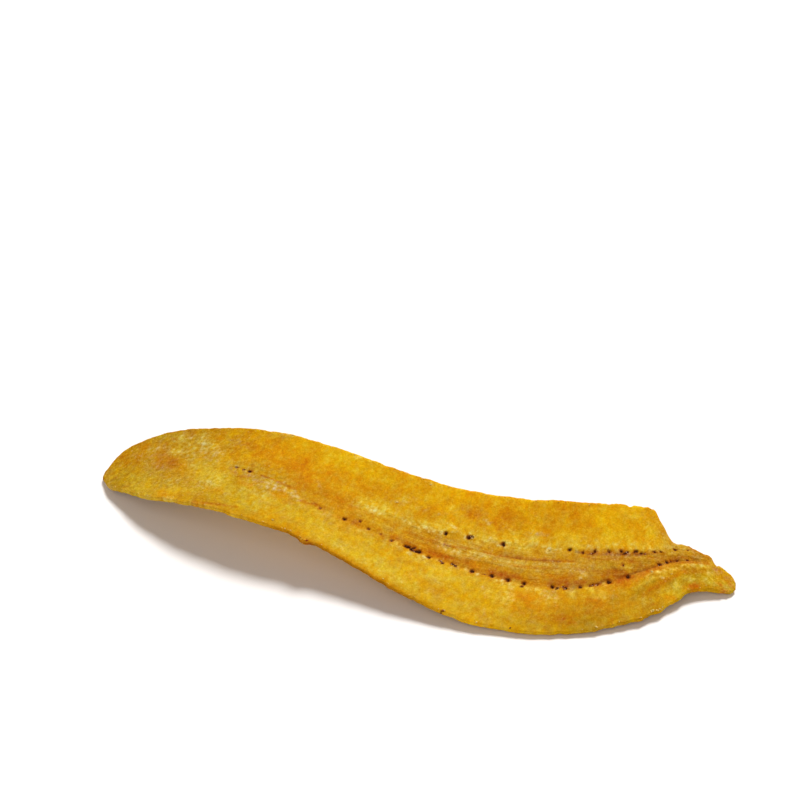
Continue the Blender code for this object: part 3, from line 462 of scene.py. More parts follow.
def mark_mask(places, reach, s, w, seed):
    """Where a mark lies, 0 to 1: near the line through its places, with a torn edge."""
    ps, pw = np.array(places).T
    pad = 2.3 * reach
    found = np.nonzero((s > ps.min() - pad) & (s < ps.max() + pad) & (w > pw.min() - pad) & (w < pw.max() + pad))
    if not len(found[0]):
        return found, None
    x, y = s[found], w[found]
    if len(ps) == 1:
        d = np.hypot(x - ps[0], y - pw[0])
    else:
        d = np.full(x.shape, 1e9)
        for k in range(len(ps) - 1):
            ax, ay, bx, by = ps[k], pw[k], ps[k + 1], pw[k + 1]
            f = np.clip(((x - ax) * (bx - ax) + (y - ay) * (by - ay)) / max((bx - ax) ** 2 + (by - ay) ** 2, 1e-6), 0, 1)
            d = np.minimum(d, np.hypot(x - ax - f * (bx - ax), y - ay - f * (by - ay)))
    grit = max(0.55, 0.5 * reach)
    d = d * (1 + 0.55 * rough(tear, x / grit + 7.7 * seed, y / grit, 3, 0.7))
    return found, np.exp(-((d / reach) ** 2))


tear = Noise(41)
MARKS = [(kind, reach, strength, [on_slice(q) for q in places]) for kind, reach, strength, *places in MARKS]

# ---------------------------------------------------------------- the fine grid
CELLS_ALONG, CELLS_ACROSS, RIM = 438, 100, 6
_near = np.array([0, 0.12, 0.30, 0.58, 0.92])


def spread(total, cells):
    """Places from 0 to total, close together at both ends."""
    near = _near * np.minimum(1, total / 14)[..., None]
    inner = near[..., -1:] + (total[..., None] - 2 * near[..., -1:]) * np.linspace(0, 1, cells - 7)
    return np.concatenate([near[..., :-1], inner, total[..., None] - near[..., -2::-1]], -1)


grid_s = spread(np.array(LENGTH), CELLS_ALONG)
front_half, back_half = half_widths(grid_s)
W = spread(front_half + back_half, CELLS_ACROSS) - front_half[:, None]
S = np.repeat(grid_s[:, None], W.shape[1], 1)
# the cross rows fan out over the rounded ends
S = S + 1.9 * (1 - ease(0, 9, S)) * (1 - np.sqrt(np.clip(1 - (W / (front_half + back_half)[:, None] * 1.7) ** 2, 0, 1)))

ACROSS, UP, MIDDLE = at(TABLE_ACROSS, S), at(TABLE_UP, S), at(TABLE_P, S)
edge_gap = np.minimum(W + front_half[:, None], back_half[:, None] - W)
edge_gap = np.minimum(edge_gap, np.minimum(np.abs(grid_s), LENGTH - grid_s)[:, None])
edge_gap = np.maximum(edge_gap, 0)
H0 = shape(S, W)


def face_fields(s, w, shown):
    """Relief in mm and the masks of one cut face. shown is the face with the placed marks."""
    jit = fine if shown else under
    shift = 0.0 if shown else 61.7
    a, b = s + shift, w + 3.1 * shift
    ahead, behind = rows(s, w, jit)
    core = core_mask(s, w, jit)
    core_start = ease(66, 96, s)
    outside = np.maximum(ahead, behind)                       # distance out from the nearer row
    row_on = ease(60, 92, s) * (1 - ease(176, 182, s))

    # radial fingers beside the rows
    lean = np.where(ahead > behind, a - 0.25 * outside, a + 0.3 * outside)
    fingers = ray(lean / 1.15, outside / 6.0) + 0.6 * ray(lean / 0.55 + 40, outside / 4.0)
    reach = np.exp(-np.clip(outside, 0, None) / 4.2) * ease(-0.3, 0.8, outside) * row_on
    # long fibres of the core
    wave = w + 0.5 * mid(a / 14.0, 2.5) + 0.15 * mid(a / 4.0, 9.5)
    strands = fibre(a / 13.0, wave / 0.62) + 0.6 * fibre(a / 8.0 + 30, wave / 0.30)
    bands = fibre(a / 24.0 + 70, wave / 1.5) + 0.5 * fibre(a / 16.0 + 90, wave / 0.9)
    crumbly = rough(mid, a / 1.7, b / 1.5, 2)
    grain = rough(fine, a / 1.7, b / 1.6, 2)
    lumps = rough(mid, a / 4.6, b / 3.8, 2)

    relief = 0.06 * lumps + 0.045 * grain + 0.03 * crumbly
    relief = relief - 0.20 * core + core * (0.035 * strands + 0.035 * bands + 0.05 * crumbly)
    relief = relief + reach * (0.11 * fingers + 0.06)
    crease = np.exp(-(ahead / 0.45) ** 2) * (0.07 * ease(148, 158, s) * (1 - ease(180, 183, s)) + 0.10 * row_on)
    crease_back = np.exp(-(behind / 0.4) ** 2) * 0.04 * row_on
    relief = relief - crease - crease_back
    left = 1 - ease(30, 62, s)
    relief = relief + left * 0.05 * fine(a / 1.05 + 9, b / 1.0)

    cream = 0.45 * ease(0.15, 0.85, reach * (0.6 + 1.0 * fingers))
    blush = 0.35 * ease(0.2, 0.9, rough(big, a / 7.0, b / 5.0, 2)) * (1 - core)
    raised = np.zeros_like(s)
    if shown:
        for k, (kind, size, strength, places) in enumerate(MARKS):
            if kind in RAISED:
                found, mask = mark_mask(places, size, s, w, k)
                if mask is not None:
                    raised[found] = np.maximum(raised[found], mask * strength * RAISED[kind])
    relief = relief + 0.16 * raised * (0.6 + 0.8 * np.clip(crumbly, -0.5, 1)) + 0.05 * cream
    return {"relief": relief, "core": core, "cream": cream, "blush": blush, "strands": strands, "raised": raised,
            "fingers": fingers * reach, "crease": np.clip(crease / 0.20, 0, 1), "grain": grain,
            "lumps": lumps, "outside": outside, "row_on": row_on, "bands": bands, "ahead": ahead, "behind": behind}


def pits(s, w, seeds):
    """How deep a place lies in a seed pocket (mm) and how dark the pocket stains the flesh."""
    deep, stain = np.zeros_like(s), np.zeros_like(s)
    for k, (ss, sw, size, longer, dark) in enumerate(seeds):
        near = (np.abs(s - ss) < 4) & (np.abs(w - sw) < 4)
        if not near.any():
            continue
        ds, dw = s[near] - ss, w[near] - sw
        d = np.hypot(ds / longer**0.5, dw * longer**0.5) / (0.5 * size)
        d = d * (1 + 0.35 * fine(s[near] / 0.6 + k, w[near] / 0.6))
        deep[near] = np.maximum(deep[near], 0.38 * min(1.0, size) * np.exp(-(d / 1.15) ** 4))
        stain[near] = np.maximum(stain[near], dark * (1 - ease(0.30, 2.0, d)))
    return deep, stain


rng = np.random.default_rng(5)
UNDER_SEEDS = []
for row, spots in ((CORE_FRONT, (96, 101.5, 109, 116, 118.5, 127, 133, 141.5, 147, 158, 164)),
                   (CORE_BACK, (92, 107, 113.5, 121, 129, 131.5, 144, 149.5, 153, 166))):
    for place in spots:
        offset = float(follow(row, place)) + rng.uniform(-0.4, 0.4)
        UNDER_SEEDS.append((place + rng.uniform(-1, 1), offset, rng.uniform(0.7, 1.25), rng.uniform(1.1, 1.5), rng.uniform(0.8, 1)))

top, bottom = face_fields(S, W, True), face_fields(S, W, False)
top["front_gap"] = bottom["front_gap"] = W + front_half[:, None]
top["back_gap"] = bottom["back_gap"] = back_half[:, None] - W
top["pit"], top["stain"] = pits(S, W, SEEDS)
bottom["pit"], bottom["stain"] = pits(S, W, UNDER_SEEDS)
rounding = 0.22 * (1 - np.clip(edge_gap / 0.6, 0, 1)) ** 2
thick = THICKNESS * (1 - 0.25 * (1 - ease(0, 5, S))) + 0.10 * big(S / 13.0, W / 11.0)
top_h = H0 + top["relief"] - top["pit"] - rounding
bottom_h = H0 - thick - (0.8 * bottom["relief"] - bottom["pit"]) + rounding
top_xyz = MIDDLE + ACROSS * W[..., None] + UP * top_h[..., None]
bottom_xyz = MIDDLE + ACROSS * W[..., None] + UP * bottom_h[..., None]

n_s, n_w = S.shape
index = np.arange(n_s * n_w).reshape(n_s, n_w)
loop = np.concatenate([index[:-1, 0], index[-1, :-1], index[:0:-1, -1], index[0, :0:-1]])
ring = top_xyz.reshape(-1, 3)[loop]
low_ring = bottom_xyz.reshape(-1, 3)[loop]
travel = np.roll(ring, -3, 0) - np.roll(ring, 3, 0)
outward = np.cross(travel, UP.reshape(-1, 3)[loop])
outward /= np.maximum(np.linalg.norm(outward, axis=1), 1e-9)[:, None]
for _ in range(4):
    outward = (np.roll(outward, 1, 0) + outward + np.roll(outward, -1, 0)) / 3
outward /= np.linalg.norm(outward, axis=1)[:, None]
ring_length = np.concatenate([[0], np.cumsum(np.linalg.norm(np.diff(ring, axis=0), axis=1))])
rim_points, rim_share = [], []
for r in range(1, RIM):
    f = r / RIM
    torn = 0.10 * edge_noise(ring_length / 1.7, 40 + 2.2 * f) + 0.05 * edge_noise(ring_length / 0.7, 60 + 3 * f)
    bulge = 0.30 * math.sqrt(4 * f * (1 - f)) + torn * math.sin(math.pi * f)
    rim_points.append(ring * (1 - f) + low_ring * f + outward * bulge[:, None])
    rim_share.append(f)
rim_xyz = np.concatenate(rim_points)

vertices = to_row(np.concatenate([top_xyz.reshape(-1, 3), bottom_xyz.reshape(-1, 3), rim_xyz]))
lift = -float(vertices[:, 2].min())
print("lift", round(lift, 3), "mm")
vertices[:, 2] += lift
n_face, n_loop = n_s * n_w, len(loop)


def rim_index(r):
    if r == 0:
        return loop
    if r == RIM:
        return loop + n_face
    return 2 * n_face + (r - 1) * n_loop + np.arange(n_loop)


quads = [np.stack([index[:-1, :-1], index[1:, :-1], index[1:, 1:], index[:-1, 1:]], -1).reshape(-1, 4)]
quads.append(quads[0][:, ::-1] + n_face)
for r in range(RIM):
    a, b = rim_index(r), rim_index(r + 1)
    quads.append(np.stack([a, b, np.roll(b, -1), np.roll(a, -1)], -1))
counts = [len(q) for q in quads]
quads = np.concatenate(quads)

mesh = bpy.data.meshes.new("plantain_flesh")
mesh.vertices.add(len(vertices))
mesh.vertices.foreach_set("co", (vertices * MM).astype(np.float32).ravel())
mesh.loops.add(quads.size)
mesh.loops.foreach_set("vertex_index", quads.ravel().astype(np.int32))
mesh.polygons.add(len(quads))
mesh.polygons.foreach_set("loop_start", np.arange(0, quads.size, 4, dtype=np.int32))
mesh.polygons.foreach_set("loop_total", np.full(len(quads), 4, np.int32))
mesh.polygons.foreach_set("use_smooth", np.ones(len(quads), bool))
mesh.update(calc_edges=True)
mesh.validate()
print("strip", len(vertices), "vertices", 2 * len(quads), "triangles")

# ---------------------------------------------------------------- masks and colours, one value a vertex


def srgb(r, g, b):
    c = np.stack([r, g, b], -1).astype(float) / 255
    return np.where(c <= 0.04045, c / 12.92, ((c + 0.055) / 1.055) ** 2.4)


def mix(a, b, t):
    return a + (b - a) * np.clip(t, 0, 1)[..., None]


# Colours in sRGB steps. Paint is mixed in them and turned to linear at the end.
def tone(*rgb):
    return np.array(rgb, float)


YELLOW, AMBER, LEMON, OLIVE = tone(221, 174, 34), tone(223, 163, 12), tone(205, 156, 32), tone(188, 136, 18)
CORE_TAN, CORE_DARK, CORE_PALE = tone(199, 147, 36), tone(180, 119, 22), tone(212, 174, 76)
CREAMY, BROWN, RIM_COLOUR, DARK = tone(230, 198, 90), tone(106, 54, 18), tone(190, 116, 14), tone(50, 22, 12)
KINDS = {"cream": (tone(232, 204, 106), 0.62), "white": (tone(240, 218, 148), 0.66), "lemon": (tone(224, 191, 58), 0.8),
         "yellow": (tone(228, 180, 16), 0.8), "olive": (tone(184, 142, 24), 0.8), "orange": (tone(212, 140, 8), 0.85),
         "red": (tone(176, 88, 16), 0.9), "brown": (tone(104, 50, 18), 0.85), "pink": (tone(212, 160, 80), 0.68),
         "tan": (tone(207, 159, 62), 0.7)}
GAIN = tone(0.81, 0.828, 0.70)         # linear, from the colour that shows to the colour of the paint under this light


def paint(s, w, f, shown):
    shift = 0.0 if shown else 37.7
    a, b = s + shift, w + shift
    core, outside = np.clip(f["core"], 0, 1), f["outside"]
    side = ease(-4, 6, w)                                     # 0 on the front flank, 1 on the back flank
    broad = rough(big, a / 9.0, b / 6.0, 3)
    c = mix(np.broadcast_to(YELLOW, s.shape + (3,)), AMBER, 0.08 + 0.85 * side + 0.30 * broad)
    c = mix(c, LEMON, 0.85 * (1 - ease(16, 58, s)) * (0.9 + 0.3 * broad))
    c = mix(c, OLIVE, (0.9 - 0.3 * side) * (1 - ease(0, 17, s)) + 0.40 * ease(128, 150, s) * (1 - side) * (1 - ease(162, 170, s)))
    # olive on the lower band of the front flank towards the pointed end: partly the flesh's tone, partly painted shade
    # where the flank turns down from the light
    c = mix(c, OLIVE, 0.5 * ease(8.5, 13.5, -w) * ease(112, 140, s) * (1 - ease(160, 172, s)))
    c = mix(c, tone(196, 128, 4), 0.6 * (1 - ease(7, 17, s)) * side)
    c = mix(c, KINDS["orange"][0], 0.6 * f["blush"])
    # sunken core with long fibres
    middle = np.exp(-((f["ahead"] - f["behind"]) / 3.4) ** 2)  # 1 along the middle of the core
    flesh = mix(np.broadcast_to(CORE_TAN, s.shape + (3,)), CORE_DARK,
                0.22 + 0.40 * f["bands"] + 0.25 * f["strands"] - 0.30 * middle + 0.75 * ease(138, 158, s))
    flesh = mix(flesh, CORE_PALE, 0.60 * ease(0.2, 1.3, f["strands"] + 0.8 * f["bands"] + 0.45 * middle))
    c = mix(c, flesh, 0.85 * core)
    c = mix(c, CREAMY, 0.7 * f["cream"])
    # brightness set region by region: partly the flesh's own tone, partly painted light and shade
    level = 0.975 - 0.03 * (1 - side) * (1 - ease(60, 80, s)) - 0.055 * (1 - ease(38, 76, s)) - 0.035 * (1 - ease(8, 40, s))
    level = level + 0.02 * ease(60, 110, s) + 0.01 * core - 0.06 * ease(148, 160, s) * (1 - 0.75 * side)
    level = level + 0.045 * side * (1 - ease(8, 18, s)) - 0.02 * (1 - side) * (1 - ease(8, 18, s)) + 0.022 * side * ease(30, 44, s) * (1 - ease(70, 84, s))
    level = level + 0.025 * side * ease(94, 110, s) - 0.022 * (1 - side) * ease(100, 112, s) * (1 - ease(146, 156, s))
    level = level - 0.028 * np.exp(-((s - 27) / 15.0) ** 2) * np.exp(-((w - 1.5) / 8.0) ** 2) - (0.070 - 0.050 * side) * ease(164, 170, s)
    level = level + 0.035 * (1 - ease(9, 15, s)) * ease(-5, 0, w) * (1 - np.exp(-(f["back_gap"] / 2.0) ** 2))
    # painted light: near the front edge from about s 98 to 142 the face, which turns down from the light, is painted
    # lighter
    level = level + 0.048 * np.exp(-(f["front_gap"] / 3.0) ** 2) * ease(98, 106, s) * (1 - ease(134, 142, s))
    # at the pointed end the band in front of the crease is painted darker: partly its orange-brown tone, partly painted
    # shade that dims the ridge where the light catches it
    lip = np.exp(-((f["ahead"] - 4.5) / 4.0) ** 2) * ease(154, 161, s) * (1 - 0.6 * ease(172, 178, s))
    level = level - 0.085 * lip - 0.070 * np.exp(-((f["ahead"] - 1.7) / 1.8) ** 2) * ease(156, 163, s) * (1 - 0.4 * ease(170, 176, s))
    dip = np.exp(-((f["ahead"] - 4.0) / 4.0) ** 2) * ease(130, 139, s) * (1 - ease(151, 157, s))
    level = level - 0.032 * np.exp(-((s - 97) / 8.0) ** 2 - ((w - 5.6) / 2.8) ** 2) - 0.032 * np.exp(-((s - 67) / 7.0) ** 2 - ((w - 1.1) / 2.5) ** 2)
    level = level + 0.030 * np.exp(-(f["back_gap"] / 3.6) ** 2) * ease(44, 58, s) * (1 - ease(120, 126, s) + ease(138, 146, s))
    level = level - 0.032 * side * (1 - core) * np.exp(-(outside / 7.0) ** 2) * ease(104, 114, s) * (1 - ease(150, 158, s))
    c = c * level[..., None]
    c = c * (1 - tone(0, 0.01, 0.35) * (1 - ease(6, 20, s))[..., None])
    c = c * (1 - tone(0.012, 0.03, 0.12) * (ease(150, 157, s) * (1 - side))[..., None])
    c = c * (1 + tone(0.012, 0.032, 0.10) * (ease(88, 100, s) * (1 - ease(161, 165, s)) * side * (1 - core))[..., None])
    c = c * (1 - tone(0.030, 0.058, 0.22) * dip[..., None])
    c = c * (1 - tone(0.025, 0, -0.06) * lip[..., None]) * (1 + tone(0.01, 0.05, 0.30) * ease(173, 178, s)[..., None])
    c = c * (1 + tone(0, 0.055, 0.10) * (core * ease(152, 160, s) * (1 - ease(170, 176, s)))[..., None])
    c = mix(c, tone(193, 139, 54), 0.70 * ease(161, 168, s) * ease(-0.6, 1.2, f["behind"]))
    by_row = np.exp(-(f["ahead"] / 1.7) ** 2) * ease(56, 84, s) * (1 - ease(176, 182, s))
    c = mix(c, tone(176, 98, 18), by_row * np.clip(0.24 + 0.16 * broad, 0, 1))
    # unevenness of several sizes: pale against orange, light against dark
    warp = 0.8 * mid(a / 3.1, b / 3.1 + 60)
    striped = ray(a / 1.3 + warp, b / 2.4) + 0.6 * ray(a / 1.0 + 30, b / 1.7)      # short streaks across the slice
    spotted = mid(a / 1.6 + 11, b / 1.4 + warp) + 0.7 * fine(a / 1.05, b / 1.0 + 31)
    fine_grain = spotted + (striped - spotted) * (0.65 * ease(30, 70, s))
    along_core = f["strands"] + 0.8 * fibre(a / 7.0 + 14, w / 0.5 + 41)
    one = fine_grain * (1 - core) + along_core * core
    two = rough(big, a / 1.2 + 91 + warp, b / 2.0, 2)
    three, four = rough(mid, a / 4.2 + 55, b / 4.6 + 55, 2), rough(big, a / 3.4 + 22, b / 4.6 + 22, 2)
    pale = rough(fine, a / 1.7 + 33 + 0.5 * warp, b / 2.0 + 12, 2)
    c = c + (pale * (25.0 - 6.0 * core - 12.0 * (1 - ease(40, 60, s))))[..., None] * tone(0.08, 0.42, 0.90)
    strong = 1.4 - 0.45 * (1 - ease(40, 60, s)) - 0.40 * core
    c = c + (strong * one * 11.5)[..., None] * tone(0.06, 0.46, 0.89) + (two * (17.0 - 7.0 * side * (1 - core) * ease(40, 60, s)))[..., None] * tone(0.57, 0.63, -0.53)
    c = c + (three * (3.0 + 16.0 * side * (1 - core)))[..., None] * tone(0.38, 0.86, 0.34) + (four * (16.0 - 4.0 * side))[..., None] * tone(0.47, 0.12, -0.87)
    if shown:
        speckle = 1.5 * fine(a / 0.95 + 5, b / 0.95) + 0.8 * mid(a / 1.3, b / 1.4 + 9)
        for k, (kind, reach, strength, places) in enumerate(MARKS):
            found, mask = mark_mask(places, reach, s, w, k)
            if mask is not None:
                colour_, most = KINDS[kind]
                if kind in RAISED:
                    colour_ = colour_ * (1 - tone(0.075, 0.06, 0.0) * (1 - ease(48, 66, np.array(places)[:, 0].mean())))
                grains_ = speckle[found] if kind in RAISED else 0.25 * speckle[found]
                t = np.clip(mask * strength * most * (0.80 + 1.0 * grains_), 0, 1)[:, None]
                c[found] = c[found] + (colour_ + 0.7 * (c[found] - c[found].mean(0)) - c[found]) * t
    c = mix(c, BROWN, 0.22 * f["crease"] * ease(0.0, 0.9, 0.35 + 0.9 * f["grain"]) * ease(96, 150, s))
    edge = np.exp(-(f["front_gap"] / 0.5) ** 2)
    c = mix(c, tone(198, 138, 10), 0.6 * np.exp(-(f["front_gap"] / 1.5) ** 2) * ease(34, 50, s) * (1 - ease(104, 124, s)))
    c = mix(c, KINDS["orange"][0] * 0.93, 0.55 * edge * ease(52, 66, s) * (1 - ease(95, 112, s)))
    # painted light: a pale line along the thin front edge towards the rounded end, where the edge is lit
    c = mix(c, tone(224, 188, 80), 0.5 * edge * (1 - ease(48, 60, s)) * ease(-0.6, 0.5, f["grain"]))
    c = mix(c, KINDS["red"][0], 0.65 * ease(0.0, 0.35, f["stain"]))
    c = mix(c, BROWN, 0.85 * ease(0.3, 0.7, f["stain"]))
    c = mix(c, DARK, 0.95 * ease(0.62, 0.95, f["stain"]))
    c = np.clip(c, 4, 252)
    # painted light: the face is painted up to 30 % lighter at its front edge, which turns away from the light
    edge_painted_light = 1 + 0.30 * np.exp(-(f["front_gap"] / 0.5) ** 2)      # the edge turns away from the light
    return srgb(c[..., 0], c[..., 1], c[..., 2]) * GAIN * edge_painted_light[..., None]


top_colour = paint(S, W, top, True)
bottom_colour = paint(S, W, bottom, False) * np.array([0.93, 0.86, 0.85])
rim_s = S.reshape(-1)[loop]
rim_top = top_colour.reshape(-1, 3)[loop]
rim_rows = []
stalk_back = ease(158, 166, rim_s) * (W.reshape(-1)[loop] > 0)
RIM_TINT = np.where((W.reshape(-1)[loop] > 0)[:, None], np.array([0.95, 1.04, 1.0]), np.array([0.96, 1.0, 1.0]))
for f in rim_share:
    patchy = rough(edge_noise, ring_length / 3.0, np.full(n_loop, 80 + 2 * f), 2)
    middle = srgb(*RIM_COLOUR) * GAIN * (1 + 0.30 * patchy)[:, None]
    fried = np.where(np.arange(n_loop) < n_s, 0.05 + 0.75 * ease(54, 70, rim_s) * (1 - ease(98, 118, rim_s)), 0.05)
    # painted light and shade on the rim: the front rim's brightness is set along it and down its thickness, darker from
    # s 54 to 118, and the back rim, which the light from behind falls on, is painted darker
    lit = np.where(np.arange(n_loop) < n_s, 1.05 - 0.12 * f - 0.18 * ease(54, 70, rim_s) * (1 - ease(98, 118, rim_s)), 0.88)[:, None]
    row_ = mix(rim_top, middle, fried * math.sin(math.pi * min(1, f + 0.1))) * lit * RIM_TINT
    rim_rows.append(mix(row_, srgb(*tone(176, 130, 58)) * GAIN, 0.75 * stalk_back))
brown_end = 0.6 * np.exp(-((rim_s - 73.0) / 0.9) ** 4)[:, None] * (np.arange(n_loop) < n_s)[:, None]
rim_rows = [r + (srgb(*tone(150, 66, 18)) - r) * 0.9 * brown_end for r in rim_rows]
colour = np.concatenate([top_colour.reshape(-1, 3), bottom_colour.reshape(-1, 3)] + rim_rows)


def add_value(name, top_v, bottom_v, rim_v=0.0):
    data = np.concatenate([np.broadcast_to(top_v, S.shape).ravel(), np.broadcast_to(bottom_v, S.shape).ravel(),
                           np.full((RIM - 1) * n_loop, rim_v)])
    layer = mesh.attributes.new(name, "FLOAT", "POINT")
    layer.data.foreach_set("value", data.astype(np.float32))


tint = mesh.attributes.new("tint", "FLOAT_COLOR", "POINT")
tint.data.foreach_set("color", np.concatenate([colour, np.ones((len(colour), 1))], 1).astype(np.float32).ravel())
add_value("core", top["core"], bottom["core"])
left_grain = 1 - ease(28, 60, S)
stalk_grain = 0.45 * ease(150, 165, S)
add_value("granular", np.clip(0.15 + 0.55 * left_grain + 0.35 * top["core"] + stalk_grain + 0.6 * top["raised"], 0, 1.3),
          np.clip(0.2 + 0.5 * left_grain + 0.35 * bottom["core"] + stalk_grain, 0, 1.3), 0.4)
add_value("dry", np.clip(top["cream"] * 0.5 + top["raised"] * 0.7, 0, 1), bottom["cream"] * 0.6, 0.1)

# Map along the slice, in hundredths of a metre: columns along s, rows across; the faces lie side by side
along_mm = np.concatenate([S.ravel(), S.ravel()] + [rim_s] * (RIM - 1))
across_mm = np.concatenate([W.ravel(), W.ravel() + 100])
loop_vertex = quads.ravel()
u_mm = along_mm[loop_vertex]
v_mm = np.zeros(len(loop_vertex))
n0, n1 = counts[0] * 4, (counts[0] + counts[1]) * 4
v_mm[:n1] = across_mm[loop_vertex[:n1]]
ring_place = np.stack([ring_length, ring_length, np.append(ring_length[1:], ring_length[-1] + 0.3), np.append(ring_length[1:], ring_length[-1] + 0.3)], 1)
at_loop = n1
bake_u, bake_v = u_mm.copy(), v_mm.copy()
for r in range(RIM):
    f = np.array([r, r + 1, r + 1, r]) * (THICKNESS / RIM)
    u_mm[at_loop:at_loop + n_loop * 4] = ring_place.ravel()
    v_mm[at_loop:at_loop + n_loop * 4] = np.tile(f, n_loop) + 60
    at_loop += n_loop * 4
uv = mesh.uv_layers.new(name="strip")
uv.data.foreach_set("uv", np.stack([u_mm / 10, v_mm / 10], 1).astype(np.float32).ravel())

# Bake layout: shown face, under face and the rim as a band in two rows, none over another
bake = mesh.uv_layers.new(name="OFBake")
bu, bv = np.zeros(len(loop_vertex)), np.zeros(len(loop_vertex))
bu[:n1] = 0.01 + 0.98 * u_mm[:n1] / LENGTH
bv[:n0] = 0.02 + 0.42 * (v_mm[:n0] + 22) / 44
bv[n0:n1] = 0.46 + 0.42 * (v_mm[n0:n1] - 100 + 22) / 44
around = u_mm[n1:] / (ring_length[-1] + 0.5)
second = np.repeat((ring_place.reshape(-1, 4)[:, 0] > ring_length[-1] / 2), 4)
second = np.tile(second, RIM)
bu[n1:] = 0.01 + 0.98 * np.clip(np.where(second, around * 2 - 1, around * 2), 0, 1)
bv[n1:] = np.where(second, 0.95, 0.90) + 0.04 * (v_mm[n1:] - 60) / THICKNESS
bake.data.foreach_set("uv", np.stack([bu, bv], 1).astype(np.float32).ravel())
mesh.uv_layers.active = mesh.uv_layers["strip"]


# ---------------------------------------------------------------- materials
def new_material(name):
    material = bpy.data.materials.new(name)
    material.use_nodes = True
    tree = material.node_tree
    return material, tree, tree.nodes["Principled BSDF"]


def node(tree, kind, **values):
    made = tree.nodes.new(kind)
    for key, value in values.items():
        if key.startswith("_"):
            setattr(made, key[1:], value)
        else:
            made.inputs[key].default_value = value
    return made


def math_node(tree, operation, a, b=None, c=None, clamp=False):
    made = tree.nodes.new("ShaderNodeMath")
    made.operation, made.use_clamp = operation, clamp
    for socket, value in zip(made.inputs, (a, b, c)):
        if value is None:
            continue
        if isinstance(value, (int, float)):
            socket.default_value = value
        else:
            tree.links.new(value, socket)
    return made.outputs[0]


def attribute(tree, name):
    made = tree.nodes.new("ShaderNodeAttribute")
    made.attribute_type, made.attribute_name = "GEOMETRY", name
    return made


def mixed(tree, blend, factor, a, b):
    made = tree.nodes.new("ShaderNodeMix")
    made.data_type, made.blend_type = "RGBA", blend
    for socket, value in ((made.inputs["Factor"], factor), (made.inputs["A"], a), (made.inputs["B"], b)):
        pass
    for socket, value in ((made.inputs[0], factor), (made.inputs[6], a), (made.inputs[7], b)):
        if isinstance(value, (int, float)):
            socket.default_value = value
        elif isinstance(value, tuple):
            socket.default_value = value
        else:
            tree.links.new(value, socket)
    return made.outputs[2]


def noise_at(tree, vector, scale, detail=2.0, roughness=0.5, kind="FBM"):
    made = tree.nodes.new("ShaderNodeTexNoise")
    made.noise_dimensions = "3D"
    made.inputs["Scale"].default_value = scale
    made.inputs["Detail"].default_value = detail
    made.inputs["Roughness"].default_value = roughness
    tree.links.new(vector, made.inputs["Vector"])
    return made.outputs["Fac"]


def stretched(tree, vector, scale):
    made = tree.nodes.new("ShaderNodeMapping")
    made.vector_type = "POINT"
    made.inputs["Scale"].default_value = scale
    tree.links.new(vector, made.inputs["Vector"])
    return made.outputs["Vector"]


def ranged(tree, value, low, high, to_low=0.0, to_high=1.0):
    made = tree.nodes.new("ShaderNodeMapRange")
    made.interpolation_type = "SMOOTHSTEP"
    made.inputs["From Min"].default_value = low
    made.inputs["From Max"].default_value = high
    made.inputs["To Min"].default_value = to_low
    made.inputs["To Max"].default_value = to_high
    tree.links.new(value, made.inputs["Value"])
    return made.outputs["Result"]


flesh, tree, shader = new_material("fried_plantain_flesh")
link = tree.links.new
place = tree.nodes.new("ShaderNodeTexCoord").outputs["Object"]
strip_map = tree.nodes.new("ShaderNodeUVMap")
strip_map.uv_map = "strip"
strip_uv = strip_map.outputs["UV"]
colour_in = attribute(tree, "tint").outputs["Color"]
core_in = attribute(tree, "core").outputs["Fac"]
granular_in = attribute(tree, "granular").outputs["Fac"]
dry_in = attribute(tree, "dry").outputs["Fac"]

grains = noise_at(tree, place, 2300, 2.0, 0.65)
coarse = noise_at(tree, place, 1250, 2.0, 0.6)
fibres = noise_at(tree, stretched(tree, strip_uv, (0.9, 26, 1)), 1.0, 3.0, 0.6)
hairs = noise_at(tree, stretched(tree, strip_uv, (1.6, 60, 1)), 1.0, 2.0, 0.6)
rays = noise_at(tree, stretched(tree, strip_uv, (9, 3.4, 1)), 1.0, 3.0, 0.6)

# the grain is added to the colour as it shows, each size of it along a colour direction of its own
def vector_math(operation, a, b, c=None):
    made = tree.nodes.new("ShaderNodeVectorMath")
    made.operation = operation
    for socket, value in zip(made.inputs, (a, b, c)):
        if isinstance(value, tuple):
            socket.default_value = value
        elif value is not None:
            link(value, socket)
    return made.outputs["Vector"]


def spread_colour(value, amount, direction):
    """A centred value times an amount, along a colour direction."""
    part = math_node(tree, "MULTIPLY", math_node(tree, "SUBTRACT", value, 0.5), amount)
    joined = tree.nodes.new("ShaderNodeCombineXYZ")
    for socket in joined.inputs:
        link(part, socket)
    return vector_math("MULTIPLY", joined.outputs[0], direction)


def each_power(colour_, power):
    parts, whole = tree.nodes.new("ShaderNodeSeparateColor"), tree.nodes.new("ShaderNodeCombineColor")
    link(colour_, parts.inputs[0])
    for a_, b_ in zip(parts.outputs, whole.inputs):
        link(math_node(tree, "POWER", a_, power), b_)
    return whole.outputs[0]


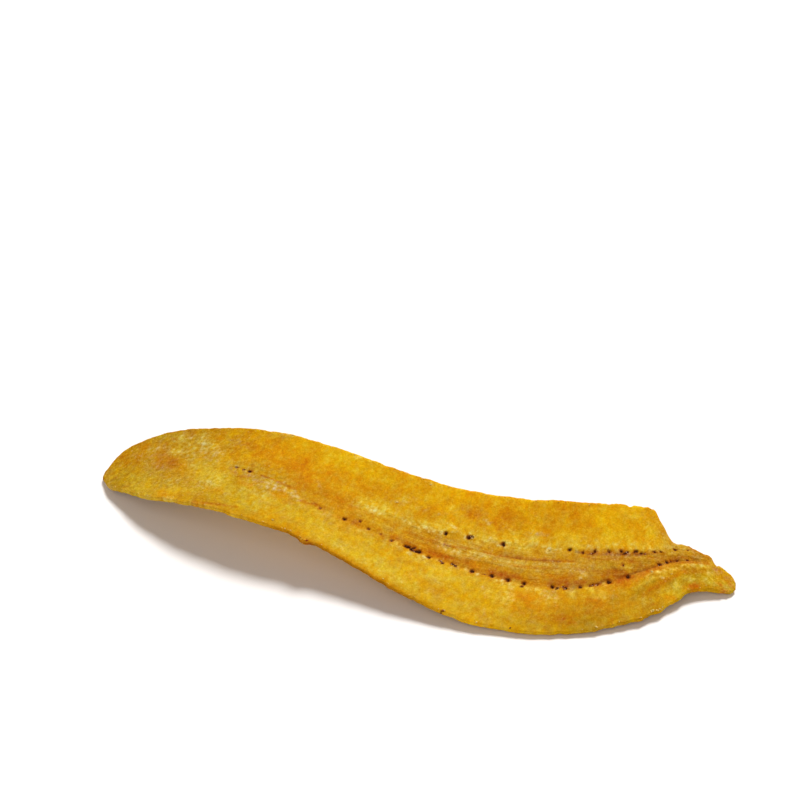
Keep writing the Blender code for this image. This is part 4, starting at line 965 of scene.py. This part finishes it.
smooth = math_node(tree, "MULTIPLY", math_node(tree, "SUBTRACT", 1.0, core_in), math_node(tree, "SUBTRACT", 1.0, granular_in, clamp=True))
hard = ranged(tree, grains, 0.32, 0.68)
shown_colour = each_power(colour_in, 1 / 2.2)
for value, amount, direction in (
        (hard, math_node(tree, "MULTIPLY_ADD", granular_in, 0.050, 0.104), (0.60, 0.60, 0.52)),
        (coarse, math_node(tree, "MULTIPLY_ADD", granular_in, 0.05, 0.28), (0.30, 0.50, 0.81)),
        (rays, math_node(tree, "MULTIPLY", smooth, 0.16), (0.10, 0.45, 0.89)),
        (fibres, math_node(tree, "MULTIPLY", core_in, 0.16), (0.40, 0.58, 0.70)),
        (hairs, math_node(tree, "MULTIPLY", core_in, 0.19), (0.45, 0.58, 0.68))):
    shown_colour = vector_math("ADD", shown_colour, spread_colour(value, amount, direction))
shown_colour = each_power(vector_math("MAXIMUM", shown_colour, (0.03, 0.03, 0.03)), 2.2)
# pale specks painted as tiny glints of the granular skin: painted highlights
specks = tree.nodes.new("ShaderNodeTexVoronoi")
specks.feature = "F1"
specks.inputs["Scale"].default_value = 900
specks.inputs["Randomness"].default_value = 1.0
link(place, specks.inputs["Vector"])
painted_glints = ranged(tree, specks.outputs["Distance"], 0.30, 0.12)
scatter = ranged(tree, noise_at(tree, place, 330, 3.0, 0.65), 0.50, 0.66)
painted_glints = math_node(tree, "MULTIPLY", math_node(tree, "MULTIPLY", painted_glints, scatter), granular_in)
shown_colour = mixed(tree, "MIX", math_node(tree, "MULTIPLY", painted_glints, 0.45), shown_colour, (0.74, 0.54, 0.20, 1))
# orange to brown pores
pores = ranged(tree, noise_at(tree, place, 760, 2.0, 0.6), 0.62, 0.74)
shown_colour = mixed(tree, "MIX", math_node(tree, "MULTIPLY", pores, 0.22), shown_colour, (0.42, 0.15, 0.012, 1))
link(shown_colour, shader.inputs["Base Color"])

matt = math_node(tree, "MULTIPLY_ADD", dry_in, 0.12, 0.66)
matt = math_node(tree, "ADD", matt, math_node(tree, "MULTIPLY", math_node(tree, "SUBTRACT", coarse, 0.5), 0.5))
link(math_node(tree, "ADD", matt, 0.0, clamp=True), shader.inputs["Roughness"])
shader.inputs["IOR"].default_value = 1.42
shader.inputs["Specular IOR Level"].default_value = 0.03
shader.inputs["Subsurface Weight"].default_value = 0.14
shader.inputs["Subsurface Radius"].default_value = (1.0, 0.55, 0.2)
shader.inputs["Subsurface Scale"].default_value = 0.0006

height = math_node(tree, "MULTIPLY", grains, math_node(tree, "MULTIPLY_ADD", granular_in, 0.7, 0.5))
height = math_node(tree, "ADD", height, math_node(tree, "MULTIPLY", coarse, 1.1))
height = math_node(tree, "ADD", height, math_node(tree, "MULTIPLY", math_node(tree, "MULTIPLY", fibres, core_in), 1.6))
height = math_node(tree, "ADD", height, math_node(tree, "MULTIPLY", math_node(tree, "MULTIPLY", hairs, core_in), 0.8))
bump = tree.nodes.new("ShaderNodeBump")
bump.inputs["Strength"].default_value = 0.55
bump.inputs["Distance"].default_value = 0.00013
link(height, bump.inputs["Height"])
link(bump.outputs["Normal"], shader.inputs["Normal"])
mesh.materials.append(flesh)

strip = bpy.data.objects.new("plantain_flesh", mesh)
bpy.context.scene.collection.objects.link(strip)
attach(strip, "root")
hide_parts("plantain_strip")

# ---------------------------------------------------------------- seeds, crumbs and painted glints
TOP_ROW = to_row(top_xyz)
BOTTOM_ROW = to_row(bottom_xyz)
TOP_ROW[..., 2] += lift
BOTTOM_ROW[..., 2] += lift


def surface_frame(face, s, w, flip):
    """Point of a face of the fine mesh near (s, w), with the directions along, across and out of it."""
    i = int(np.clip(np.searchsorted(grid_s, s), 2, n_s - 3))
    j = int(np.clip(np.argmin(np.abs(W[i] - w)), 2, n_w - 3))
    point = face[i, j]
    along = face[i + 2, j] - face[i - 2, j]
    across = face[i, j + 2] - face[i, j - 2]
    out = np.cross(along, across) * (-1 if flip else 1)
    out /= np.linalg.norm(out)
    along = along / np.linalg.norm(along)
    return Vector(point), Vector(along), Vector(np.cross(out, along)), Vector(out)


def lumps_mesh(name, items, subdivisions, wobble):
    """One joined mesh of uneven lumps: (point, along, across, out, length, width, height, seed) in mm."""
    bm = bmesh.new()
    layer = bm.verts.layers.float_color.new("tint")
    for point, along, across, out, length, width, tall, seed, colour_ in items:
        local = np.random.default_rng(seed)
        wave = [(Vector(local.normal(size=3)).normalized(), local.uniform(1.5, 4.5), local.uniform(0, 6.28)) for _ in range(6)]
        made = bmesh.ops.create_icosphere(bm, subdivisions=subdivisions, radius=1.0)["verts"]
        for v in made:
            n = v.co.normalized()
            k = 1 + wobble * sum(math.sin(f * n.dot(d) * 2 + ph) for d, f, ph in wave) / 3
            v.co = (point + along * (n.x * k * length / 2) + across * (n.y * k * width / 2) + out * (n.z * k * tall / 2)) * MM
            v[layer] = (*[float(c) * (0.85 + 0.3 * local.random()) for c in colour_], 1.0)
    made_mesh = bpy.data.meshes.new(name)
    bm.to_mesh(made_mesh)
    bm.free()
    for polygon in made_mesh.polygons:
        polygon.use_smooth = True
    made_object = bpy.data.objects.new(name, made_mesh)
    bpy.context.scene.collection.objects.link(made_object)
    return made_object


items = []
rng = np.random.default_rng(77)
SEED_BLACK, SEED_BROWN, SEED_PINK = srgb(46, 17, 8), srgb(112, 52, 20), srgb(156, 92, 66)
FLESH_PINK, FLESH_PALE = srgb(206, 152, 122), srgb(222, 190, 142)
for face, seeds, flip in ((TOP_ROW, SEEDS, False), (BOTTOM_ROW, UNDER_SEEDS, True)):
    for k, (ss, sw, size, longer, dark) in enumerate(seeds):
        point, along, across, out = surface_frame(face, ss, sw, flip)
        turn = rng.uniform(-0.6, 0.6)
        a = along * math.cos(turn) + across * math.sin(turn)
        b = across * math.cos(turn) - along * math.sin(turn)
        for part in range(2 + int(round(5 * size + 1.2))):
            main = part == 0
            q, far = rng.uniform(0, 6.28), 0 if main else size * rng.uniform(0.18, 0.62)
            away = a * (math.cos(q) * far * longer**0.5) + b * (math.sin(q) * far / longer**0.5)
            bit = size * (0.52 if main else rng.uniform(0.16, 0.42))
            shade = np.clip((dark - 0.5) / 0.5 - (0 if main else rng.uniform(0, 0.9)), 0, 1)
            stretch = longer**0.5 if main else rng.uniform(1.0, 1.6)
            items.append((point + away + out * (0.02 + 0.05 * bit), a, b, out, bit * stretch, bit / stretch**0.5, 0.7 * bit,
                          int(rng.integers(1e6)), SEED_BROWN + (SEED_BLACK - SEED_BROWN) * shade))
        for _ in range(int(rng.integers(2, 5)) if size > 0.45 else 1):       # bits of pale, torn flesh round the pocket
            q, far, bit = rng.uniform(0, 6.28), size * rng.uniform(0.42, 0.78), rng.uniform(0.14, 0.27)
            away = a * (math.cos(q) * far * longer**0.5) + b * (math.sin(q) * far / longer**0.5)
            items.append((point + away + out * 0.03, a, b, out, bit * rng.uniform(1.0, 1.8), bit, 0.6 * bit,
                          int(rng.integers(1e6)), (FLESH_PINK, FLESH_PALE, SEED_PINK)[int(rng.integers(3))]))
seeds_object = lumps_mesh("plantain_seeds", items, 2, 0.45)
seed_material, tree, shader = new_material("plantain_seed")
place = tree.nodes.new("ShaderNodeTexCoord").outputs["Object"]
seed_tint = attribute(tree, "tint").outputs["Color"]
spots = ranged(tree, noise_at(tree, place, 2600, 2.0), 0.45, 0.7)
tree.links.new(mixed(tree, "MIX", math_node(tree, "MULTIPLY", spots, 0.5), seed_tint, (0.07, 0.028, 0.012, 1)), shader.inputs["Base Color"])
shader.inputs["Roughness"].default_value = 0.65
shader.inputs["Specular IOR Level"].default_value = 0.03
bump = tree.nodes.new("ShaderNodeBump")
bump.inputs["Strength"].default_value = 0.6
bump.inputs["Distance"].default_value = 0.00008
tree.links.new(noise_at(tree, place, 3200, 2.0), bump.inputs["Height"])
tree.links.new(bump.outputs["Normal"], shader.inputs["Normal"])
seeds_object.data.materials.append(seed_material)
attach(seeds_object, "root")

# Dry crumbs that cling to the edge, and pale lumps painted as glints and edge highlights: px, size in mm, pale or
# browned
# painted light: the pale lumps at (548.8, 548.3), (651.6, 571.4), (662.4, 577.2) and (671, 573.5) are painted glints,
# those at (272, 519), (284, 532.5), (287, 533.5) and (430, 483.5) painted edge highlights
CRUMBS_AND_GLINTS = [(650.5, 613, 0.55, "pale"), (653.5, 611.5, 0.7, "pale"), (656, 610.5, 0.6, "pale"), (659, 608, 0.5, "pale"),
          (661, 606.5, 0.45, "pale"), (474.3, 624.2, 0.6, "pale"), (596.5, 628, 0.6, "pale"), (721, 590, 0.7, "gold"),
          (726, 592, 0.6, "gold"), (294.5, 539.5, 0.8, "gold"), (297.5, 541, 0.8, "gold"), (300.5, 542, 0.5, "gold"),
          (304, 543.4, 0.5, "red"), (307.5, 544.4, 0.5, "red"), (284, 532.5, 0.5, "pale"), (287, 533.5, 0.45, "pale"),
          (272, 519, 0.5, "pale"), (510, 629, 0.45, "brown"), (640, 618, 0.4, "pale"), (613, 628, 0.4, "gold"),
          (291, 434.5, 0.5, "pale"), (430, 483.5, 0.4, "pale"), (548.8, 548.3, 0.8, "pale"), (396.8, 502.5, 0.5, "pale"),
          (651.6, 571.4, 0.5, "pale"), (662.4, 577.2, 0.4, "pale"), (581, 577, 0.45, "pale"), (671, 573.5, 0.35, "pale")]
CRUMB_AND_GLINT_TONES = {"pale": srgb(228, 198, 112), "gold": srgb(216, 160, 40), "brown": srgb(112, 58, 18), "red": srgb(150, 64, 20)}
items = []
for u, v, size, kind in CRUMBS_AND_GLINTS:
    ss, sw = on_slice((u, v))
    point, along, across, out = surface_frame(TOP_ROW, ss, sw, False)
    for part in range(2):
        away = along * rng.uniform(-0.4, 0.4) * size + across * rng.uniform(-0.4, 0.4) * size
        bit = size * rng.uniform(0.55, 0.9)
        items.append((point + away + out * (0.10 * bit), along, across, out, bit * rng.uniform(1, 1.5), bit, 0.8 * bit,
                      int(rng.integers(1e6)), CRUMB_AND_GLINT_TONES[kind] * rng.uniform(0.75, 1.0)))
for face, flip, many in ((TOP_ROW, False, 150), (BOTTOM_ROW, True, 60)):
    for _ in range(many):      # small grains all round the edge
        ss = rng.uniform(3, 181)
        fh, bh = (float(np.interp(ss, grid_s, x)) for x in (front_half, back_half))
        sw = bh - rng.uniform(0.05, 0.5) if rng.random() < 0.5 else rng.uniform(0.05, 0.5) - fh
        point, along, across, out = surface_frame(face, ss, sw, flip)
        bit = rng.uniform(0.16, 0.38)
        items.append((point - out * (0.10 * bit), along, across, out, bit * rng.uniform(1, 1.7), bit, bit,
                      int(rng.integers(1e6)), CRUMB_AND_GLINT_TONES["gold" if rng.random() < 0.75 else "pale"] * rng.uniform(0.7, 1.0)))
crumbs_and_glints_object = lumps_mesh("plantain_crumbs_and_glints", items, 1, 0.5)
crumb_material, tree, shader = new_material("plantain_crumb")
tree.links.new(attribute(tree, "tint").outputs["Color"], shader.inputs["Base Color"])
shader.inputs["Roughness"].default_value = 0.7
shader.inputs["Specular IOR Level"].default_value = 0.1
crumbs_and_glints_object.data.materials.append(crumb_material)
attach(crumbs_and_glints_object, "root")

# ---------------------------------------------------------------- floor, light
floor_mesh = bpy.data.meshes.new("floor")
side_m = 3.0
floor_mesh.from_pydata([(-side_m, -side_m, 0), (side_m, -side_m, 0), (side_m, side_m, 0), (-side_m, side_m, 0)], [], [(0, 1, 2, 3)])
floor = bpy.data.objects.new("floor", floor_mesh)
floor.location.z = -0.0001
bpy.context.scene.collection.objects.link(floor)
floor_material, tree, shader = new_material("pale_floor")
shader.inputs["Base Color"].default_value = (0.86, 0.86, 0.87, 1)
shader.inputs["Roughness"].default_value = 0.6
shader.inputs["Specular IOR Level"].default_value = 0.2
floor_mesh.materials.append(floor_material)


def sun(name, azimuth, elevation, strength, angle, colour_=(1, 1, 1)):
    """A soft far light that comes from the given side, azimuth 0 is the front (-Y), counted to the right."""
    light_data = bpy.data.lights.new(name, "SUN")
    light_data.energy, light_data.angle, light_data.color = strength, math.radians(angle), colour_
    made = bpy.data.objects.new(name, light_data)
    az, el = math.radians(azimuth), math.radians(elevation)
    direction = Vector((math.sin(az) * math.cos(el), -math.cos(az) * math.cos(el), math.sin(el)))
    made.rotation_euler = direction.to_track_quat("Z", "Y").to_euler()
    bpy.context.scene.collection.objects.link(made)
    return made


sun("key", 158, 55, 3.6, 20, (1.0, 0.995, 0.98))
sun("fill", -30, 48, 0.62, 60, (1.0, 0.82, 0.66))

world = bpy.data.worlds.new("studio")
bpy.context.scene.world = world
world.use_nodes = True
tree = world.node_tree
background = tree.nodes["Background"]
coordinates = tree.nodes.new("ShaderNodeTexCoord").outputs["Generated"]
split = tree.nodes.new("ShaderNodeSeparateXYZ")
tree.links.new(coordinates, split.inputs[0])
high = ranged(tree, math_node(tree, "ABSOLUTE", split.outputs["Z"]), 0.12, 0.40, 1.0, 0.0)
tree.links.new(mixed(tree, "MIX", high, (0.235, 0.198, 0.178, 1), (0.97, 0.97, 0.97, 1)), background.inputs["Color"])
background.inputs["Strength"].default_value = 1.0

scene = bpy.context.scene
scene.view_settings.view_transform = "Standard"
scene.view_settings.look = "None"
